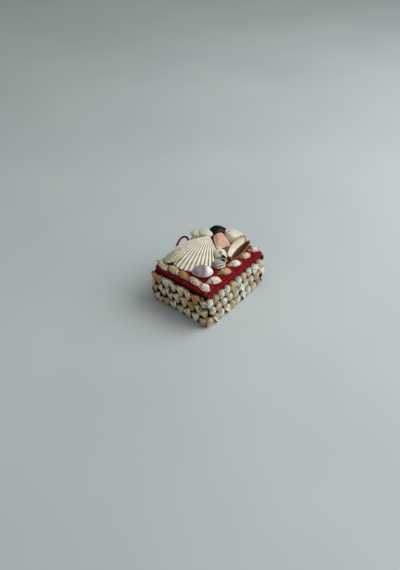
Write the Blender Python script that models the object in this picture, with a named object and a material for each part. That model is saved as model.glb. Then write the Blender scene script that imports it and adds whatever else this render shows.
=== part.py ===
"""A small souvenir trinket box covered in sea shells, with a padded red velvet lid on a cloth hinge.

Metres, +Z up. The origin is under the middle of the box, on the surface it stands on.
+X runs along the long side. The cloth hinge is on the -Y side and the pull loop on the +Y side.
"""

import math

import bmesh
import bpy
import numpy as np
from mathutils import Matrix, Vector
from mathutils.bvhtree import BVHTree

MM = 0.001

# Driving dimensions of the card box and its cloth
LID_LENGTH = 75 * MM
LID_WIDTH = 56 * MM
BODY_HEIGHT = 31.5 * MM
CARD = 2.0 * MM
VELVET = 0.7 * MM
BASE_CLOTH = 0.6 * MM
GLUE_LINE = 0.3 * MM
LID_CARD = 2.2 * MM
LID_EDGE_ROUND = 1.1 * MM
PAD_RISE = 4.2 * MM
HINGE_DROP = 8.5 * MM
HINGE_SHORTER = 0.6 * MM
LID_OPEN_PLAY = 0.9 * MM

# The pull loop, a short cord with both ends glued under the lid's front edge
LOOP_THICKNESS = 1.9 * MM
LOOP_SPREAD = 16.0 * MM
LOOP_MIDDLE = -1.4 * MM
LOOP_RISE = 8.2 * MM
LOOP_REACH = 3.8 * MM
LOOP_LEAN = 2.4 * MM

# The courses of small shells on the four walls
COURSES = 3
COURSE_SHELL = 14.0 * MM
LONG_PITCH = 7.5 * MM
SHORT_PITCH = 8.0 * MM
LONG_GIRTH = 8.8 * MM
SHORT_GIRTH = 9.0 * MM
LONG_LEAN = 32.0
SHORT_LEAN = 6.0
WALL_BELLY = 0.08
WALL_TILT = 6.0
LAP_SLOPE = 1.1
LAP_RISE = 4.2 * MM
GLUE_BED = 1.2 * MM
CORNER_SINK = 1.6 * MM
FLOOR_CLEAR = 0.4 * MM

# The shells round the edge of the lid
RIM_LENGTH = 13.6 * MM
RIM_GIRTH = 8.0 * MM
RIM_INSET = 4.5 * MM
RIM_SINK = 0.9 * MM

# The large shells on the lid: length, width and depth of each valve, length and girth of each snail
BED_SHARE = 0.74
SCALLOP = (43.5 * MM, 39.6 * MM, 8.0 * MM)
SCALLOP_RIB = 0.55 * MM
PALE_CLAM = (24.0 * MM, 14.5 * MM, 5.0 * MM)
LARGE_CLAM = (20.0 * MM, 17.0 * MM, 7.0 * MM)
FAR_CLAM = (13.0 * MM, 11.0 * MM, 4.0 * MM)
NEAR_CLAM = (14.0 * MM, 12.0 * MM, 4.2 * MM)
MUSSEL = (19.0 * MM, 10.8 * MM, 4.8 * MM)
SALMON = (15.0 * MM, 13.2 * MM, 3.6 * MM)
SALMON_TOP = 0.76
TAN_WEDGE = (8.5 * MM, 7.0 * MM, 2.4 * MM)
GAPING_LENGTH = 28.0 * MM
GAPING_WALL = 1.1 * MM
ROUND_SNAIL = (12.6 * MM, 12.4 * MM)
GREY_WHELK = (15.0 * MM, 10.6 * MM)
SPECKLED_SNAIL = (9.0 * MM, 6.0 * MM)
COWRIE = (17.6 * MM, 12.2 * MM)

# Worked out from the values above
WALL_X = LID_LENGTH / 2
WALL_Y = LID_WIDTH / 2
TRAY_X = WALL_X - VELVET - GLUE_LINE
TRAY_Y = WALL_Y - VELVET - GLUE_LINE
LINING_X = TRAY_X - CARD - GLUE_LINE
LINING_Y = TRAY_Y - CARD - GLUE_LINE
TRAY_FLOOR = BASE_CLOTH + GLUE_LINE
LINING_FLOOR = TRAY_FLOOR + CARD + GLUE_LINE
LID_FOOT = BODY_HEIGHT + GLUE_LINE
BOARD_FOOT = LID_FOOT + VELVET + GLUE_LINE
PAD_INSIDE = BOARD_FOOT + LID_CARD + GLUE_LINE
LID_TOP = PAD_INSIDE + VELVET
HINGE_Y = -(WALL_Y + GLUE_LINE + VELVET / 2)
HINGE_Z = BODY_HEIGHT + GLUE_LINE / 2


def finish(name, colour, roughness):
    """A plain surface colour with its roughness."""
    material = bpy.data.materials.new(name)
    material.use_nodes = True
    shader = material.node_tree.nodes["Principled BSDF"]
    shader.inputs["Base Color"].default_value = (*colour, 1.0)
    shader.inputs["Roughness"].default_value = roughness
    shader.inputs["Metallic"].default_value = 0.0
    material.diffuse_color = (*colour, 1.0)
    return material


def add_object(name, points, faces, material, parent=None):
    """A named object with this mesh and material."""
    mesh = bpy.data.meshes.new(name)
    mesh.from_pydata([tuple(p) for p in points], [], [tuple(f) for f in faces])
    mesh.validate()
    shape = bmesh.new()
    shape.from_mesh(mesh)
    bmesh.ops.recalc_face_normals(shape, faces=shape.faces)
    shape.to_mesh(mesh)
    shape.free()
    piece = bpy.data.objects.new(name, mesh)
    bpy.context.scene.collection.objects.link(piece)
    piece.data.materials.append(material)
    if parent is not None:
        piece.parent = parent
        piece.matrix_parent_inverse = Matrix.Translation(-parent.location)
    return piece


def block(name, low, high, material, parent=None):
    """A box between two corners."""
    corners = [(x, y, z) for x in (low[0], high[0]) for y in (low[1], high[1]) for z in (low[2], high[2])]
    faces = [(0, 1, 3, 2), (4, 6, 7, 5), (0, 4, 5, 1), (2, 3, 7, 6), (0, 2, 6, 4), (1, 5, 7, 3)]
    return add_object(name, corners, faces, material, parent)


def bake(piece):
    """Makes what the modifiers give the object's own mesh, and keeps its largest body."""
    bpy.context.view_layer.update()
    graph = bpy.context.evaluated_depsgraph_get()
    mesh = bpy.data.meshes.new_from_object(piece.evaluated_get(graph))
    piece.modifiers.clear()
    piece.data = mesh
    shape = bmesh.new()
    shape.from_mesh(mesh)
    neat = shape.copy()
    bmesh.ops.remove_doubles(neat, verts=neat.verts, dist=0.01 * MM)
    bmesh.ops.dissolve_degenerate(neat, edges=neat.edges, dist=0.01 * MM)
    if all(edge.is_manifold for edge in neat.edges):
        shape.free()
        shape = neat
    else:
        neat.free()
    left = set(shape.faces)
    bodies = []
    while left:
        body = {left.pop()}
        waiting = list(body)
        while waiting:
            face = waiting.pop()
            near = {other for edge in face.edges for other in edge.link_faces} & left
            left -= near
            body |= near
            waiting.extend(near)
        bodies.append(body)
    bodies.sort(key=lambda body: sum(face.calc_area() for face in body))
    for body in bodies[:-1]:
        bmesh.ops.delete(shape, geom=list(body), context="FACES")
    loose = [vert for vert in shape.verts if not vert.link_faces]
    bmesh.ops.delete(shape, geom=loose, context="VERTS")
    shape.to_mesh(mesh)
    shape.free()


def combine(piece, operation, others, solver="EXACT"):
    """Joins other objects to this one, or cuts them from it, and removes them."""
    for other in others:
        change = piece.modifiers.new(operation.lower(), "BOOLEAN")
        change.operation = operation
        change.solver = solver
        change.object = other
    bake(piece)
    for other in others:
        bpy.data.objects.remove(other)


def hollow(piece, low, high):
    """Cuts a box-shaped space out of an object."""
    space = block("space", low, high, piece.data.materials[0])
    combine(piece, "DIFFERENCE", [space])


def tree_of(piece):
    """The object's faces in the world, for finding what they cross."""
    shape = bmesh.new()
    shape.from_mesh(piece.data)
    shape.transform(piece.matrix_world)
    tree = BVHTree.FromBMesh(shape)
    shape.free()
    return tree


def swollen(piece, share):
    """A copy of an object whose surface stands this many glue lines further out."""
    shape = bmesh.new()
    shape.from_mesh(piece.data)
    shape.normal_update()
    moved = [v.co + v.normal * GLUE_LINE * share for v in shape.verts]
    for vert, place in zip(shape.verts, moved):
        vert.co = place
    mesh = bpy.data.meshes.new("swollen")
    shape.to_mesh(mesh)
    shape.free()
    copy = bpy.data.objects.new("swollen", mesh)
    bpy.context.scene.collection.objects.link(copy)
    copy.matrix_world = piece.matrix_world.copy()
    return copy


def seat(piece, carriers):
    """Cuts a piece where it would enter what was laid before it, with a glue line between them.

    The meshes that shells make of each other trouble the exact solver, so these cuts use the other one.
    A hollow between ribs can be swollen shut, so what still enters is cut once more with a finer line.
    """
    for share in (1.7, 0.5, 0.2):
        bpy.context.view_layer.update()
        own = tree_of(piece)
        entered = [swollen(carrier, share) for carrier in carriers if own.overlap(tree_of(carrier))]
        if entered:
            combine(piece, "DIFFERENCE", entered, "MANIFOLD")


def ring_surface(rings, first, last):
    """Closed surface over rings of points, with a single point at either end."""
    count = len(rings[0])
    points = [first] + [p for ring in rings for p in ring] + [last]
    faces = [(0, 1 + (k + 1) % count, 1 + k) for k in range(count)]
    for r in range(len(rings) - 1):
        a = 1 + r * count
        b = a + count
        faces += [(a + k, a + (k + 1) % count, b + (k + 1) % count, b + k) for k in range(count)]
    a = 1 + (len(rings) - 1) * count
    faces += [(a + k, a + (k + 1) % count, len(points) - 1) for k in range(count)]
    return points, faces


def snail(length, girth, arc, belly, steps):
    """A spired shell lying on its flat belly, its tip at -X and its mouth end at +X.

    The radius follows the steps, each a share of the length and a share of half the girth. Each ring is
    an arc of that many points over the flat belly, and the arc's ends stand the belly share above it.
    """
    radius = girth / 2
    turn = np.linspace(0, math.pi, arc)
    rings = []
    for along, wide in steps:
        out = radius * wide
        x = np.full(arc, (along - 0.5) * length)
        z = out * np.sin(turn) + belly * radius * np.sin(turn)
        rings.append(np.stack([x, out * np.cos(turn), z], axis=1))
    lift = radius * 0.3
    return ring_surface(rings, (-length / 2, 0, lift), (length / 2, 0, lift))


WALL_STEPS = [(0.16, 0.50), (0.56, 1.0), (0.90, 0.74)]
RIM_STEPS = [(0.14, 0.40), (0.36, 0.76), (0.62, 1.0), (0.90, 0.66)]


def square_rim(length, width, angle):
    """A rounded square that widens from its beak side, as points round a beak inside that side."""
    x = length / 2 * np.sign(np.cos(angle)) * np.abs(np.cos(angle)) ** 0.4
    y = width / 2 * np.sign(np.sin(angle)) * np.abs(np.sin(angle)) ** 0.4
    y = y * (SALMON_TOP + (1 - SALMON_TOP) * (0.5 + x / length))
    return x + 0.42 * length, y


def valve_outline(kind, length, width, angle):
    """The outline of a bivalve's shell seen from above, as distances from its beak at the origin.

    A fan is a disc with the beak outside it, joined by its two tangents. An oval is an ellipse with
    the beak a little inside its hinge side.
    """
    if kind == "fan":
        disc = width / 2
        middle = length - disc
        across = np.clip(disc**2 - (middle * np.sin(angle)) ** 2, 0, None)
        return middle * np.cos(angle) + np.sqrt(across)
    half_x, half_y = width / 2, length / 2
    middle = 0.78 * half_x
    a = (np.cos(angle) / half_x) ** 2 + (np.sin(angle) / half_y) ** 2
    b = -2 * middle * np.cos(angle) / half_x**2
    c = (middle / half_x) ** 2 - 1
    return (-b + np.sqrt(b * b - 4 * a * c)) / (2 * a)


def swell(share, beak=0.10):
    """Height of a valve from its beak (0) to its rim (1), as a share of its depth."""
    return (1 - share**2.3) * (1 - np.exp(-share / beak)) ** 0.8 + 0.22 * (1 - share) ** 6


def valve(kind, length, width, depth, columns, rows, foot, rib_height=0.0):
    """A bivalve's shell bedded open side down, its beak at the origin and its growth towards +X.

    Each row of points is the outline drawn in towards the beak, and the height over it is the swell.
    """
    if kind == "fan":
        limit = math.asin((width / 2) / (length - width / 2))
        angle = np.linspace(-limit, limit, columns)
        side = np.cos(angle / limit * math.pi / 2) ** 0.55
    else:
        angle = np.linspace(-math.pi, math.pi, columns, endpoint=False)
        side = np.ones(columns)
    if kind == "square":
        rim_x, rim_y = square_rim(length, width, angle)
    else:
        reach = valve_outline(kind, length, width, angle)
        rim_x, rim_y = reach * np.cos(angle), reach * np.sin(angle)
    comb = rib_height * np.cos(np.arange(columns) * math.pi)
    rings = []
    for share in rows:
        lift = depth * swell(share) + comb * share
        if share == rows[-1]:
            lift = np.maximum(comb, 0.0)
        rings.append(np.stack([share * rim_x, share * rim_y, lift * side], axis=1))
    middle = np.array([0.45 * (width if kind == "oval" else length), 0.0, -foot])
    bed = middle + (rings[-1] - middle) * np.array([BED_SHARE, BED_SHARE, 0.0])
    return ring_surface(rings + [bed], (0.0, 0.0, depth * 0.2), tuple(middle))


def bowl(length, width, depth, thick, columns):
    """One open valve of a pair, hollow side up: an outer bowl, its rim, and an inner bowl."""
    angle = np.linspace(0, 2 * math.pi, columns, endpoint=False)
    rings = []
    for share, drop in ((0.55, 0.72), (0.85, 0.36), (1.0, 0.0)):
        z = np.full(columns, -depth * drop)
        rings.append(np.stack([share * length / 2 * np.cos(angle), share * width / 2 * np.sin(angle), z], axis=1))
    inner_x = length / 2 - thick
    inner_y = width / 2 - thick
    for share, drop in ((1.0, 0.0), (0.82, 0.36), (0.5, 0.72)):
        z = np.full(columns, thick * 0.15 - (depth - thick) * drop)
        rings.append(np.stack([share * inner_x * np.cos(angle), share * inner_y * np.sin(angle), z], axis=1))
    return ring_surface(rings, (0, 0, -depth), (0, 0, thick - depth))


def pad_height(x, y):
    """Height of the padded top: flat at its edge and domed over the middle."""
    dome = (1 - min(abs(x) / WALL_X, 1) ** 4) * (1 - min(abs(y) / WALL_Y, 1) ** 4)
    return LID_TOP + PAD_RISE * dome


def placed(shape, spot, heading, pitch=0.0, roll=0.0):
    """A shape's points and faces turned by its heading, nose-down pitch and roll, and set on its spot."""
    points, faces = shape
    turn = Matrix.Rotation(math.radians(heading), 4, "Z")
    turn @= Matrix.Rotation(math.radians(pitch), 4, "Y")
    turn @= Matrix.Rotation(math.radians(roll), 4, "X")
    return [turn @ Vector(p) for p in points], faces, spot


def make_tray(root):
    """The card box with its velvet outside, its lining and the cloth under it."""
    card = finish("card", (0.55, 0.45, 0.33), 0.85)
    velvet = finish("wall velvet", (0.30, 0.02, 0.03), 0.9)
    felt = finish("base cloth", (0.24, 0.02, 0.03), 0.95)
    plush = finish("lining", (0.36, 0.03, 0.05), 0.9)
    tray = block("card_tray", (-TRAY_X, -TRAY_Y, TRAY_FLOOR), (TRAY_X, TRAY_Y, BODY_HEIGHT), card, root)
    inner_x = TRAY_X - CARD
    inner_y = TRAY_Y - CARD
    over = BODY_HEIGHT + CARD
    hollow(tray, (-inner_x, -inner_y, TRAY_FLOOR + CARD), (inner_x, inner_y, over))
    wrap = block("wall_velvet", (-WALL_X, -WALL_Y, TRAY_FLOOR), (WALL_X, WALL_Y, BODY_HEIGHT), velvet, root)
    wrap_x = WALL_X - VELVET
    wrap_y = WALL_Y - VELVET
    hollow(wrap, (-wrap_x, -wrap_y, -CARD), (wrap_x, wrap_y, over))
    block("base_cloth", (-WALL_X, -WALL_Y, 0.0), (WALL_X, WALL_Y, BASE_CLOTH), felt, root)
    lining = block("lining", (-LINING_X, -LINING_Y, LINING_FLOOR), (LINING_X, LINING_Y, BODY_HEIGHT), plush, root)
    room_x = LINING_X - VELVET
    room_y = LINING_Y - VELVET
    hollow(lining, (-room_x, -room_y, LINING_FLOOR + VELVET), (room_x, room_y, over))
    return wrap


def make_hinge_cloth(root):
    """The strip of cloth glued across the back of the box and the lid."""
    cloth = finish("hinge cloth", (0.48, 0.03, 0.05), 0.85)
    half = WALL_X - HINGE_SHORTER
    near = -(WALL_Y + GLUE_LINE)
    low = (-half, near - VELVET, BODY_HEIGHT - HINGE_DROP)
    high = (half, near, LID_TOP - LID_EDGE_ROUND)
    return block("hinge_cloth", low, high, cloth, root)


def make_lid(lid):
    """The lid's board, its lining, and the padded velvet that wraps the top and the edges."""
    card = finish("lid card", (0.50, 0.41, 0.30), 0.85)
    plush = finish("lid lining", (0.36, 0.03, 0.05), 0.9)
    velvet = finish("lid velvet", (0.52, 0.03, 0.05), 0.85)
    block("lid_lining", (-TRAY_X, -TRAY_Y, LID_FOOT), (TRAY_X, TRAY_Y, LID_FOOT + VELVET), plush, lid)
    block("lid_board", (-TRAY_X, -TRAY_Y, BOARD_FOOT), (TRAY_X, TRAY_Y, BOARD_FOOT + LID_CARD), card, lid)
    across = np.array([-1, -0.86, -0.62, -0.3, 0, 0.3, 0.62, 0.86, 1])
    last = len(across) - 1
    flat_x = WALL_X - LID_EDGE_ROUND
    flat_y = WALL_Y - LID_EDGE_ROUND
    points = []
    faces = []
    for i, u in enumerate(across):
        for j, v in enumerate(across):
            x = u * flat_x
            y = v * flat_y
            points.append((x, y, pad_height(x, y) if 0 < i < last and 0 < j < last else LID_TOP))
    wide = last + 1
    for i in range(last):
        for j in range(last):
            faces.append((i * wide + j, (i + 1) * wide + j, (i + 1) * wide + j + 1, i * wide + j + 1))
    edge = [i * wide for i in range(wide)]
    edge += [last * wide + j for j in range(1, wide)]
    edge += [i * wide + last for i in range(last - 1, -1, -1)]
    edge += [j for j in range(last - 1, 0, -1)]
    for height in (LID_TOP - LID_EDGE_ROUND, LID_FOOT):
        ring = []
        for k in edge:
            x, y, _ = points[k] if k < wide * wide else (0, 0, 0)
            out_x = x * WALL_X / flat_x
            out_y = y * WALL_Y / flat_y
            ring.append(len(points))
            points.append((out_x, out_y, height))
        upper = edge if height > LID_FOOT else above
        count = len(ring)
        for k in range(count):
            faces.append((upper[k], upper[(k + 1) % count], ring[(k + 1) % count], ring[k]))
        above = ring
    faces.append(tuple(above))
    cover = add_object("lid_velvet", points, faces, velvet, lid)
    inside_x = WALL_X - VELVET
    inside_y = WALL_Y - VELVET
    hollow(cover, (-inside_x, -inside_y, LID_FOOT - CARD), (inside_x, inside_y, PAD_INSIDE))
    return cover


def make_loop(lid):
    """The pull loop: a short cord that stands in an arch against the lid's front edge."""
    red = finish("loop cord", (0.33, 0.02, 0.04), 0.8)
    curve = bpy.data.curves.new("pull_loop", "CURVE")
    curve.dimensions = "3D"
    curve.bevel_depth = LOOP_THICKNESS / 2
    curve.bevel_resolution = 1
    curve.use_fill_caps = True
    steps = 15
    foot_y = WALL_Y + GLUE_LINE + LOOP_THICKNESS / 2
    foot_z = (LID_FOOT + LID_TOP) / 2
    line = curve.splines.new("POLY")
    line.points.add(steps - 1)
    for k in range(steps):
        turn = math.pi * k / (steps - 1)
        rise = math.sin(turn)
        x = LOOP_MIDDLE - LOOP_SPREAD / 2 * math.cos(turn) * (1 + 0.15 * rise) + LOOP_LEAN * rise
        y = foot_y + (LOOP_REACH - LOOP_THICKNESS) * rise**2
        line.points[k].co = (x, y, foot_z + LOOP_RISE * rise, 1.0)
    loop = bpy.data.objects.new("pull_loop", curve)
    bpy.context.scene.collection.objects.link(loop)
    curve.materials.append(red)
    loop.parent = lid
    loop.matrix_parent_inverse = Matrix.Translation(-lid.location)
    return loop


def lap_edge(course):
    """Height at the wall of the slanted surface where one course's ends lie over the heads of the next."""
    rise = (BODY_HEIGHT - LID_OPEN_PLAY - FLOOR_CLEAR) / COURSES
    return BODY_HEIGHT - LID_OPEN_PLAY - rise * course + LAP_RISE


def lap_height(points, course):
    """Height of that surface further out from the wall."""
    beyond = np.maximum(np.abs(points[:, 0]) - WALL_X, np.abs(points[:, 1]) - WALL_Y)
    return lap_edge(course) - LAP_SLOPE * np.maximum(beyond, 0.0)


def wall_shell(side, middle, height, level, corner, draw, order):
    """One small shell against a wall, in world places.

    side holds the wall's outward direction, the direction to the right along it, its distance from the
    middle, how far its shells stand off it, and whether it is a long wall. middle is the shell's place
    along the wall and height its place up it.
    """
    out, right, face, stand, is_long = side
    wall = out
    up = np.array([0.0, 0.0, 1.0])
    lean = math.radians((LONG_LEAN if is_long else SHORT_LEAN) + draw.uniform(-4, 4))
    tilt = math.radians(WALL_TILT)
    girth = (LONG_GIRTH if is_long else SHORT_GIRTH) * draw.uniform(0.97, 1.0)
    length = COURSE_SHELL * draw.uniform(0.94, 1.0)
    if level == COURSES - 1:
        length *= 0.86
    if corner:
        right, out = (right * corner[0] - out * corner[1]), (out * corner[0] + right * corner[1])
    down = -math.cos(lean) * up + math.sin(lean) * right
    proud = math.cos(tilt) * down + math.sin(tilt) * out
    facing = math.cos(tilt) * out - math.sin(tilt) * down
    axis = proud if is_long else -proud
    across = np.cross(facing, axis)
    points, faces = snail(length, girth, 4, WALL_BELLY, WALL_STEPS)
    local = np.array(points)
    local[:, 2] *= 1 - stand / local[:, 2].max()
    base = (face + stand) * wall + middle * side[1] + height * up
    world = base + local[:, :1] * axis + local[:, 1:2] * across + local[:, 2:] * facing
    nudge = 0.05 * MM * (order % 3 + 1)
    if not corner:
        short = np.maximum(stand + nudge - (world @ wall - face), 0.0)
        world += short[:, None] * wall
    top = np.full(len(world), BODY_HEIGHT - LID_OPEN_PLAY - nudge)
    bottom = np.full(len(world), FLOOR_CLEAR + nudge)
    if level > 0:
        top = np.minimum(top, lap_height(world, level) - GLUE_LINE - nudge)
    if level < COURSES - 1:
        bottom = np.maximum(bottom, lap_height(world, level + 1) + nudge)
    world[:, 2] = np.clip(world[:, 2], bottom, top)
    return world, faces


def make_course(name, side, half, level, carriers, material, root, draw):
    """One course of shells along one wall, bedded in one strip of glue."""
    out, right, face, stand, is_long = side
    pitch = LONG_PITCH if is_long else SHORT_PITCH
    room = 2 * half if is_long else 2 * half - pitch
    count = max(2, round(room / pitch))
    step = room / count
    rise = (BODY_HEIGHT - LID_OPEN_PLAY - FLOOR_CLEAR) / COURSES
    height = FLOOR_CLEAR + rise * (COURSES - level - 0.5)
    stagger = step * 0.25 * (1 if level % 2 else -1)
    spots = [((k + 0.5) * step - room / 2 + stagger, None) for k in range(count)]
    if not is_long:
        slant = math.sqrt(0.5)
        spots.insert(0, (-half + CORNER_SINK, (slant, -slant)))
        spots.append((half - CORNER_SINK, (slant, slant)))
    end = half - (0 if is_long else 2 * MM)
    foot = FLOOR_CLEAR if level == COURSES - 1 else lap_edge(level + 1) - LAP_SLOPE * stand
    head = lap_edge(level) - LAP_SLOPE * (stand + GLUE_BED) - GLUE_LINE
    head = min(head, BODY_HEIGHT - LID_OPEN_PLAY)
    ends = [out * (face + stand) - right * end, out * (face + stand + GLUE_BED) + right * end]
    low = np.minimum(ends[0], ends[1])
    high = np.maximum(ends[0], ends[1])
    course = block(name, (low[0], low[1], foot), (high[0], high[1], head), material, root)
    shells = []
    for k, (middle, corner) in enumerate(spots):
        points, faces = wall_shell(side, middle, height, level, corner, draw, k)
        shells.append(add_object(f"{name}_{k}", points, faces, material, root))
    combine(course, "UNION", shells, "MANIFOLD")
    seat(course, carriers)
    return course


def make_walls(root, carriers):
    """Three courses of shells on each wall, laid from the top down so that each course laps the next."""
    draw = np.random.default_rng(7)
    stand = GLUE_LINE * 1.2
    cloth_stand = stand + VELVET + GLUE_LINE
    x_way = np.array([1.0, 0.0, 0.0])
    y_way = np.array([0.0, 1.0, 0.0])
    sides = {
        "left": (-x_way, -y_way, WALL_X, stand, False, WALL_Y),
        "right": (x_way, y_way, WALL_X, stand, False, WALL_Y),
        "back": (-y_way, x_way, WALL_Y, cloth_stand, True, WALL_X),
        "front": (y_way, -x_way, WALL_Y, stand, True, WALL_X),
    }
    colours = {
        "left": (0.50, 0.42, 0.31),
        "right": (0.56, 0.48, 0.37),
        "back": (0.66, 0.60, 0.50),
        "front": (0.60, 0.54, 0.44),
    }
    levels = ["top", "middle", "bottom"]
    laid = list(carriers)
    for level in range(COURSES):
        for side, frame in sides.items():
            name = f"{levels[min(level, 2)]}_shells_{side}"
            skin = finish(name.replace("_", " "), colours[side], 0.45)
            laid.append(make_course(name, frame[:5], frame[5], level, laid, skin, root, draw))


def lay(name, shape, spot, heading, lid, carriers, skin, rise=0.0, pitch=0.0, roll=0.0):
    """Lays one shell on the lid: spot is given in shares of the lid's half length and half width.

    What would enter the padded top is pressed up to it.
    """
    points, faces, _ = placed(shape, spot, heading, pitch, roll)
    x = spot[0] * WALL_X
    y = spot[1] * WALL_Y
    middle = Vector((x, y, pad_height(x, y) + rise))
    for point in points:
        floor = pad_height(x + point.x, y + point.y) + GLUE_LINE - middle.z
        point.z = max(point.z, floor)
    piece = add_object(name, points, faces, skin, lid)
    piece.location = middle
    seat(piece, carriers)
    carriers.append(piece)
    return piece


def make_rim_shells(lid, carriers):
    """The ribbed shells that lie head to tail round the edge of the lid."""
    white = finish("white rim shells", (0.80, 0.77, 0.69), 0.4)
    tan = finish("tan rim shells", (0.62, 0.46, 0.27), 0.4)
    edge_x = 1 - RIM_INSET / WALL_X
    edge_y = 1 - RIM_INSET / WALL_Y
    rows = [
        ("back", [(u, -edge_y) for u in np.linspace(-0.64, 0.875, 5)], -25, 1.0, 1.0),
        ("left", [(-edge_x, v) for v in np.linspace(0.82, -0.42, 4)], -99, 1.18, 0.95),
        ("front", [(u, edge_y) for u in np.linspace(0.62, -0.74, 5)], 170, 0.84, 0.84),
        ("right", [(edge_x, v) for v in np.linspace(-0.48, 0.66, 4)], 78, 0.88, 0.88),
    ]
    for row, spots, heading, longer, fuller in rows:
        for k, spot in enumerate(spots):
            shape = snail(RIM_LENGTH * longer, RIM_GIRTH * fuller, 6, 0.2, RIM_STEPS)
            skin = tan if (k + len(row)) % 3 == 0 else white
            lay(f"rim_shell_{row}_{k + 1}", shape, spot, heading, lid, carriers, skin, rise=-RIM_SINK)
    corner = snail(RIM_LENGTH * 0.82, RIM_GIRTH * 0.85, 6, 0.2, RIM_STEPS)
    lay("rim_shell_corner", corner, (-0.90, -0.80), -70, lid, carriers, white, rise=-RIM_SINK)


def make_lid_shells(lid, carriers):
    """The large shells in the middle of the lid, in the order in which they were laid."""
    cream = finish("scallop", (0.82, 0.79, 0.66), 0.45)
    rows = (0.20, 0.60, 1.0)
    few = (0.36, 0.78, 1.0)
    clam = finish("white clams", (0.72, 0.71, 0.62), 0.4)
    whelk = finish("grey whelk", (0.40, 0.36, 0.33), 0.45)
    lay("round_snail", snail(*ROUND_SNAIL, 7, 0.25, RIM_STEPS), (0.04, -0.36), -70, lid, carriers,
        finish("round snail", (0.52, 0.49, 0.42), 0.4), rise=-0.6 * MM)
    lay("grey_whelk", snail(*GREY_WHELK, 6, 0.25, RIM_STEPS), (-0.155, -0.58), -26, lid, carriers,
        whelk, rise=-0.6 * MM)
    lay("scallop", valve("fan", *SCALLOP, 25, rows, 4 * MM, SCALLOP_RIB), (0.355, 0.315), 184, lid, carriers,
        cream, rise=3.4 * MM, pitch=5.0)
    lay("white_clam_far", valve("oval", *FAR_CLAM, 12, few, 3 * MM), (0.29, 0.83), 20, lid, carriers, clam,
        rise=2.8 * MM, pitch=-12)
    lay("white_clam_near", valve("oval", *NEAR_CLAM, 12, few, 3 * MM), (0.37, 0.62), 15, lid, carriers, clam,
        rise=3.2 * MM, pitch=-12)
    lay("large_clam", valve("oval", *LARGE_CLAM, 12, few, 4 * MM), (0.66, 0.02), -40, lid, carriers,
        finish("large clam", (0.76, 0.76, 0.66), 0.4), rise=4.2 * MM)
    lay("mussel_valve", valve("oval", *MUSSEL, 12, few, 4 * MM), (0.765, 0.585), -118, lid, carriers,
        finish("mussel", (0.03, 0.03, 0.06), 0.25), rise=4.5 * MM)
    lay("salmon_valve", valve("square", *SALMON, 12, few, 4 * MM), (0.50, 0.15), -122, lid, carriers,
        finish("salmon valve", (0.72, 0.44, 0.30), 0.4), rise=6.6 * MM, pitch=12)
    lay("tan_wedge", valve("oval", *TAN_WEDGE, 10, few, 3 * MM), (0.36, -0.28), -110, lid, carriers,
        finish("tan wedge", (0.48, 0.30, 0.18), 0.5), rise=2.1 * MM, pitch=14)
    horn = finish("gaping valves", (0.50, 0.32, 0.20), 0.4)
    far = bowl(GAPING_LENGTH, GAPING_LENGTH * 0.41, GAPING_LENGTH * 0.133, GAPING_WALL, 12)
    near = bowl(GAPING_LENGTH, GAPING_LENGTH * 0.31, GAPING_LENGTH * 0.10, GAPING_WALL, 12)
    lay("gaping_valve_far", far, (0.49, -0.55), 4, lid, carriers, horn, rise=5.2 * MM, pitch=-9, roll=48)
    lay("gaping_valve_near", near, (0.49, -0.71), 4, lid, carriers, horn, rise=4.0 * MM, pitch=-8, roll=-14)
    lay("speckled_snail", snail(*SPECKLED_SNAIL, 5, 0.25, RIM_STEPS), (0.89, 0.17), -60, lid, carriers,
        finish("speckled snail", (0.45, 0.38, 0.20), 0.5), rise=3.2 * MM)
    cowrie_steps = [(0.07, 0.48), (0.24, 0.82), (0.5, 1.0), (0.76, 0.84), (0.93, 0.48)]
    lay("cowrie", snail(*COWRIE, 7, 0.3, cowrie_steps), (-0.64, -0.455), -54, lid, carriers,
        finish("cowrie", (0.52, 0.42, 0.44), 0.15), rise=0.8 * MM, roll=4)
    lay("pale_clam", valve("oval", *PALE_CLAM, 12, few, 3 * MM), (-0.57, 0.46), 93, lid, carriers,
        finish("pale clam", (0.52, 0.52, 0.41), 0.4), rise=4.0 * MM, pitch=12)


def main():
    for old in list(bpy.data.objects):
        bpy.data.objects.remove(old)
    root = bpy.data.objects.new("box_root", None)
    lid = bpy.data.objects.new("lid_hinge", None)
    for empty in (root, lid):
        bpy.context.scene.collection.objects.link(empty)
    lid.location = (0.0, HINGE_Y, HINGE_Z)
    lid.parent = root
    bpy.context.view_layer.update()
    wrap = make_tray(root)
    cloth = make_hinge_cloth(root)
    cover = make_lid(lid)
    make_loop(lid)
    make_walls(root, [wrap, cloth])
    laid = [cover]
    make_rim_shells(lid, laid)
    make_lid_shells(lid, laid)


main()
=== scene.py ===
# %% [markdown]
# # A souvenir box covered in sea shells
#
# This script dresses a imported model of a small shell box: a card box with three courses of small snail
# shells on each wall, a padded lid in red velvet, and 33 larger shells on the lid, nineteen of them round its
# rim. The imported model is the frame. Everything here is in the same metres and the same place as its solids.

# %% Load the frame
import math

import bpy
import numpy as np
from mathutils import Matrix, Vector


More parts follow.
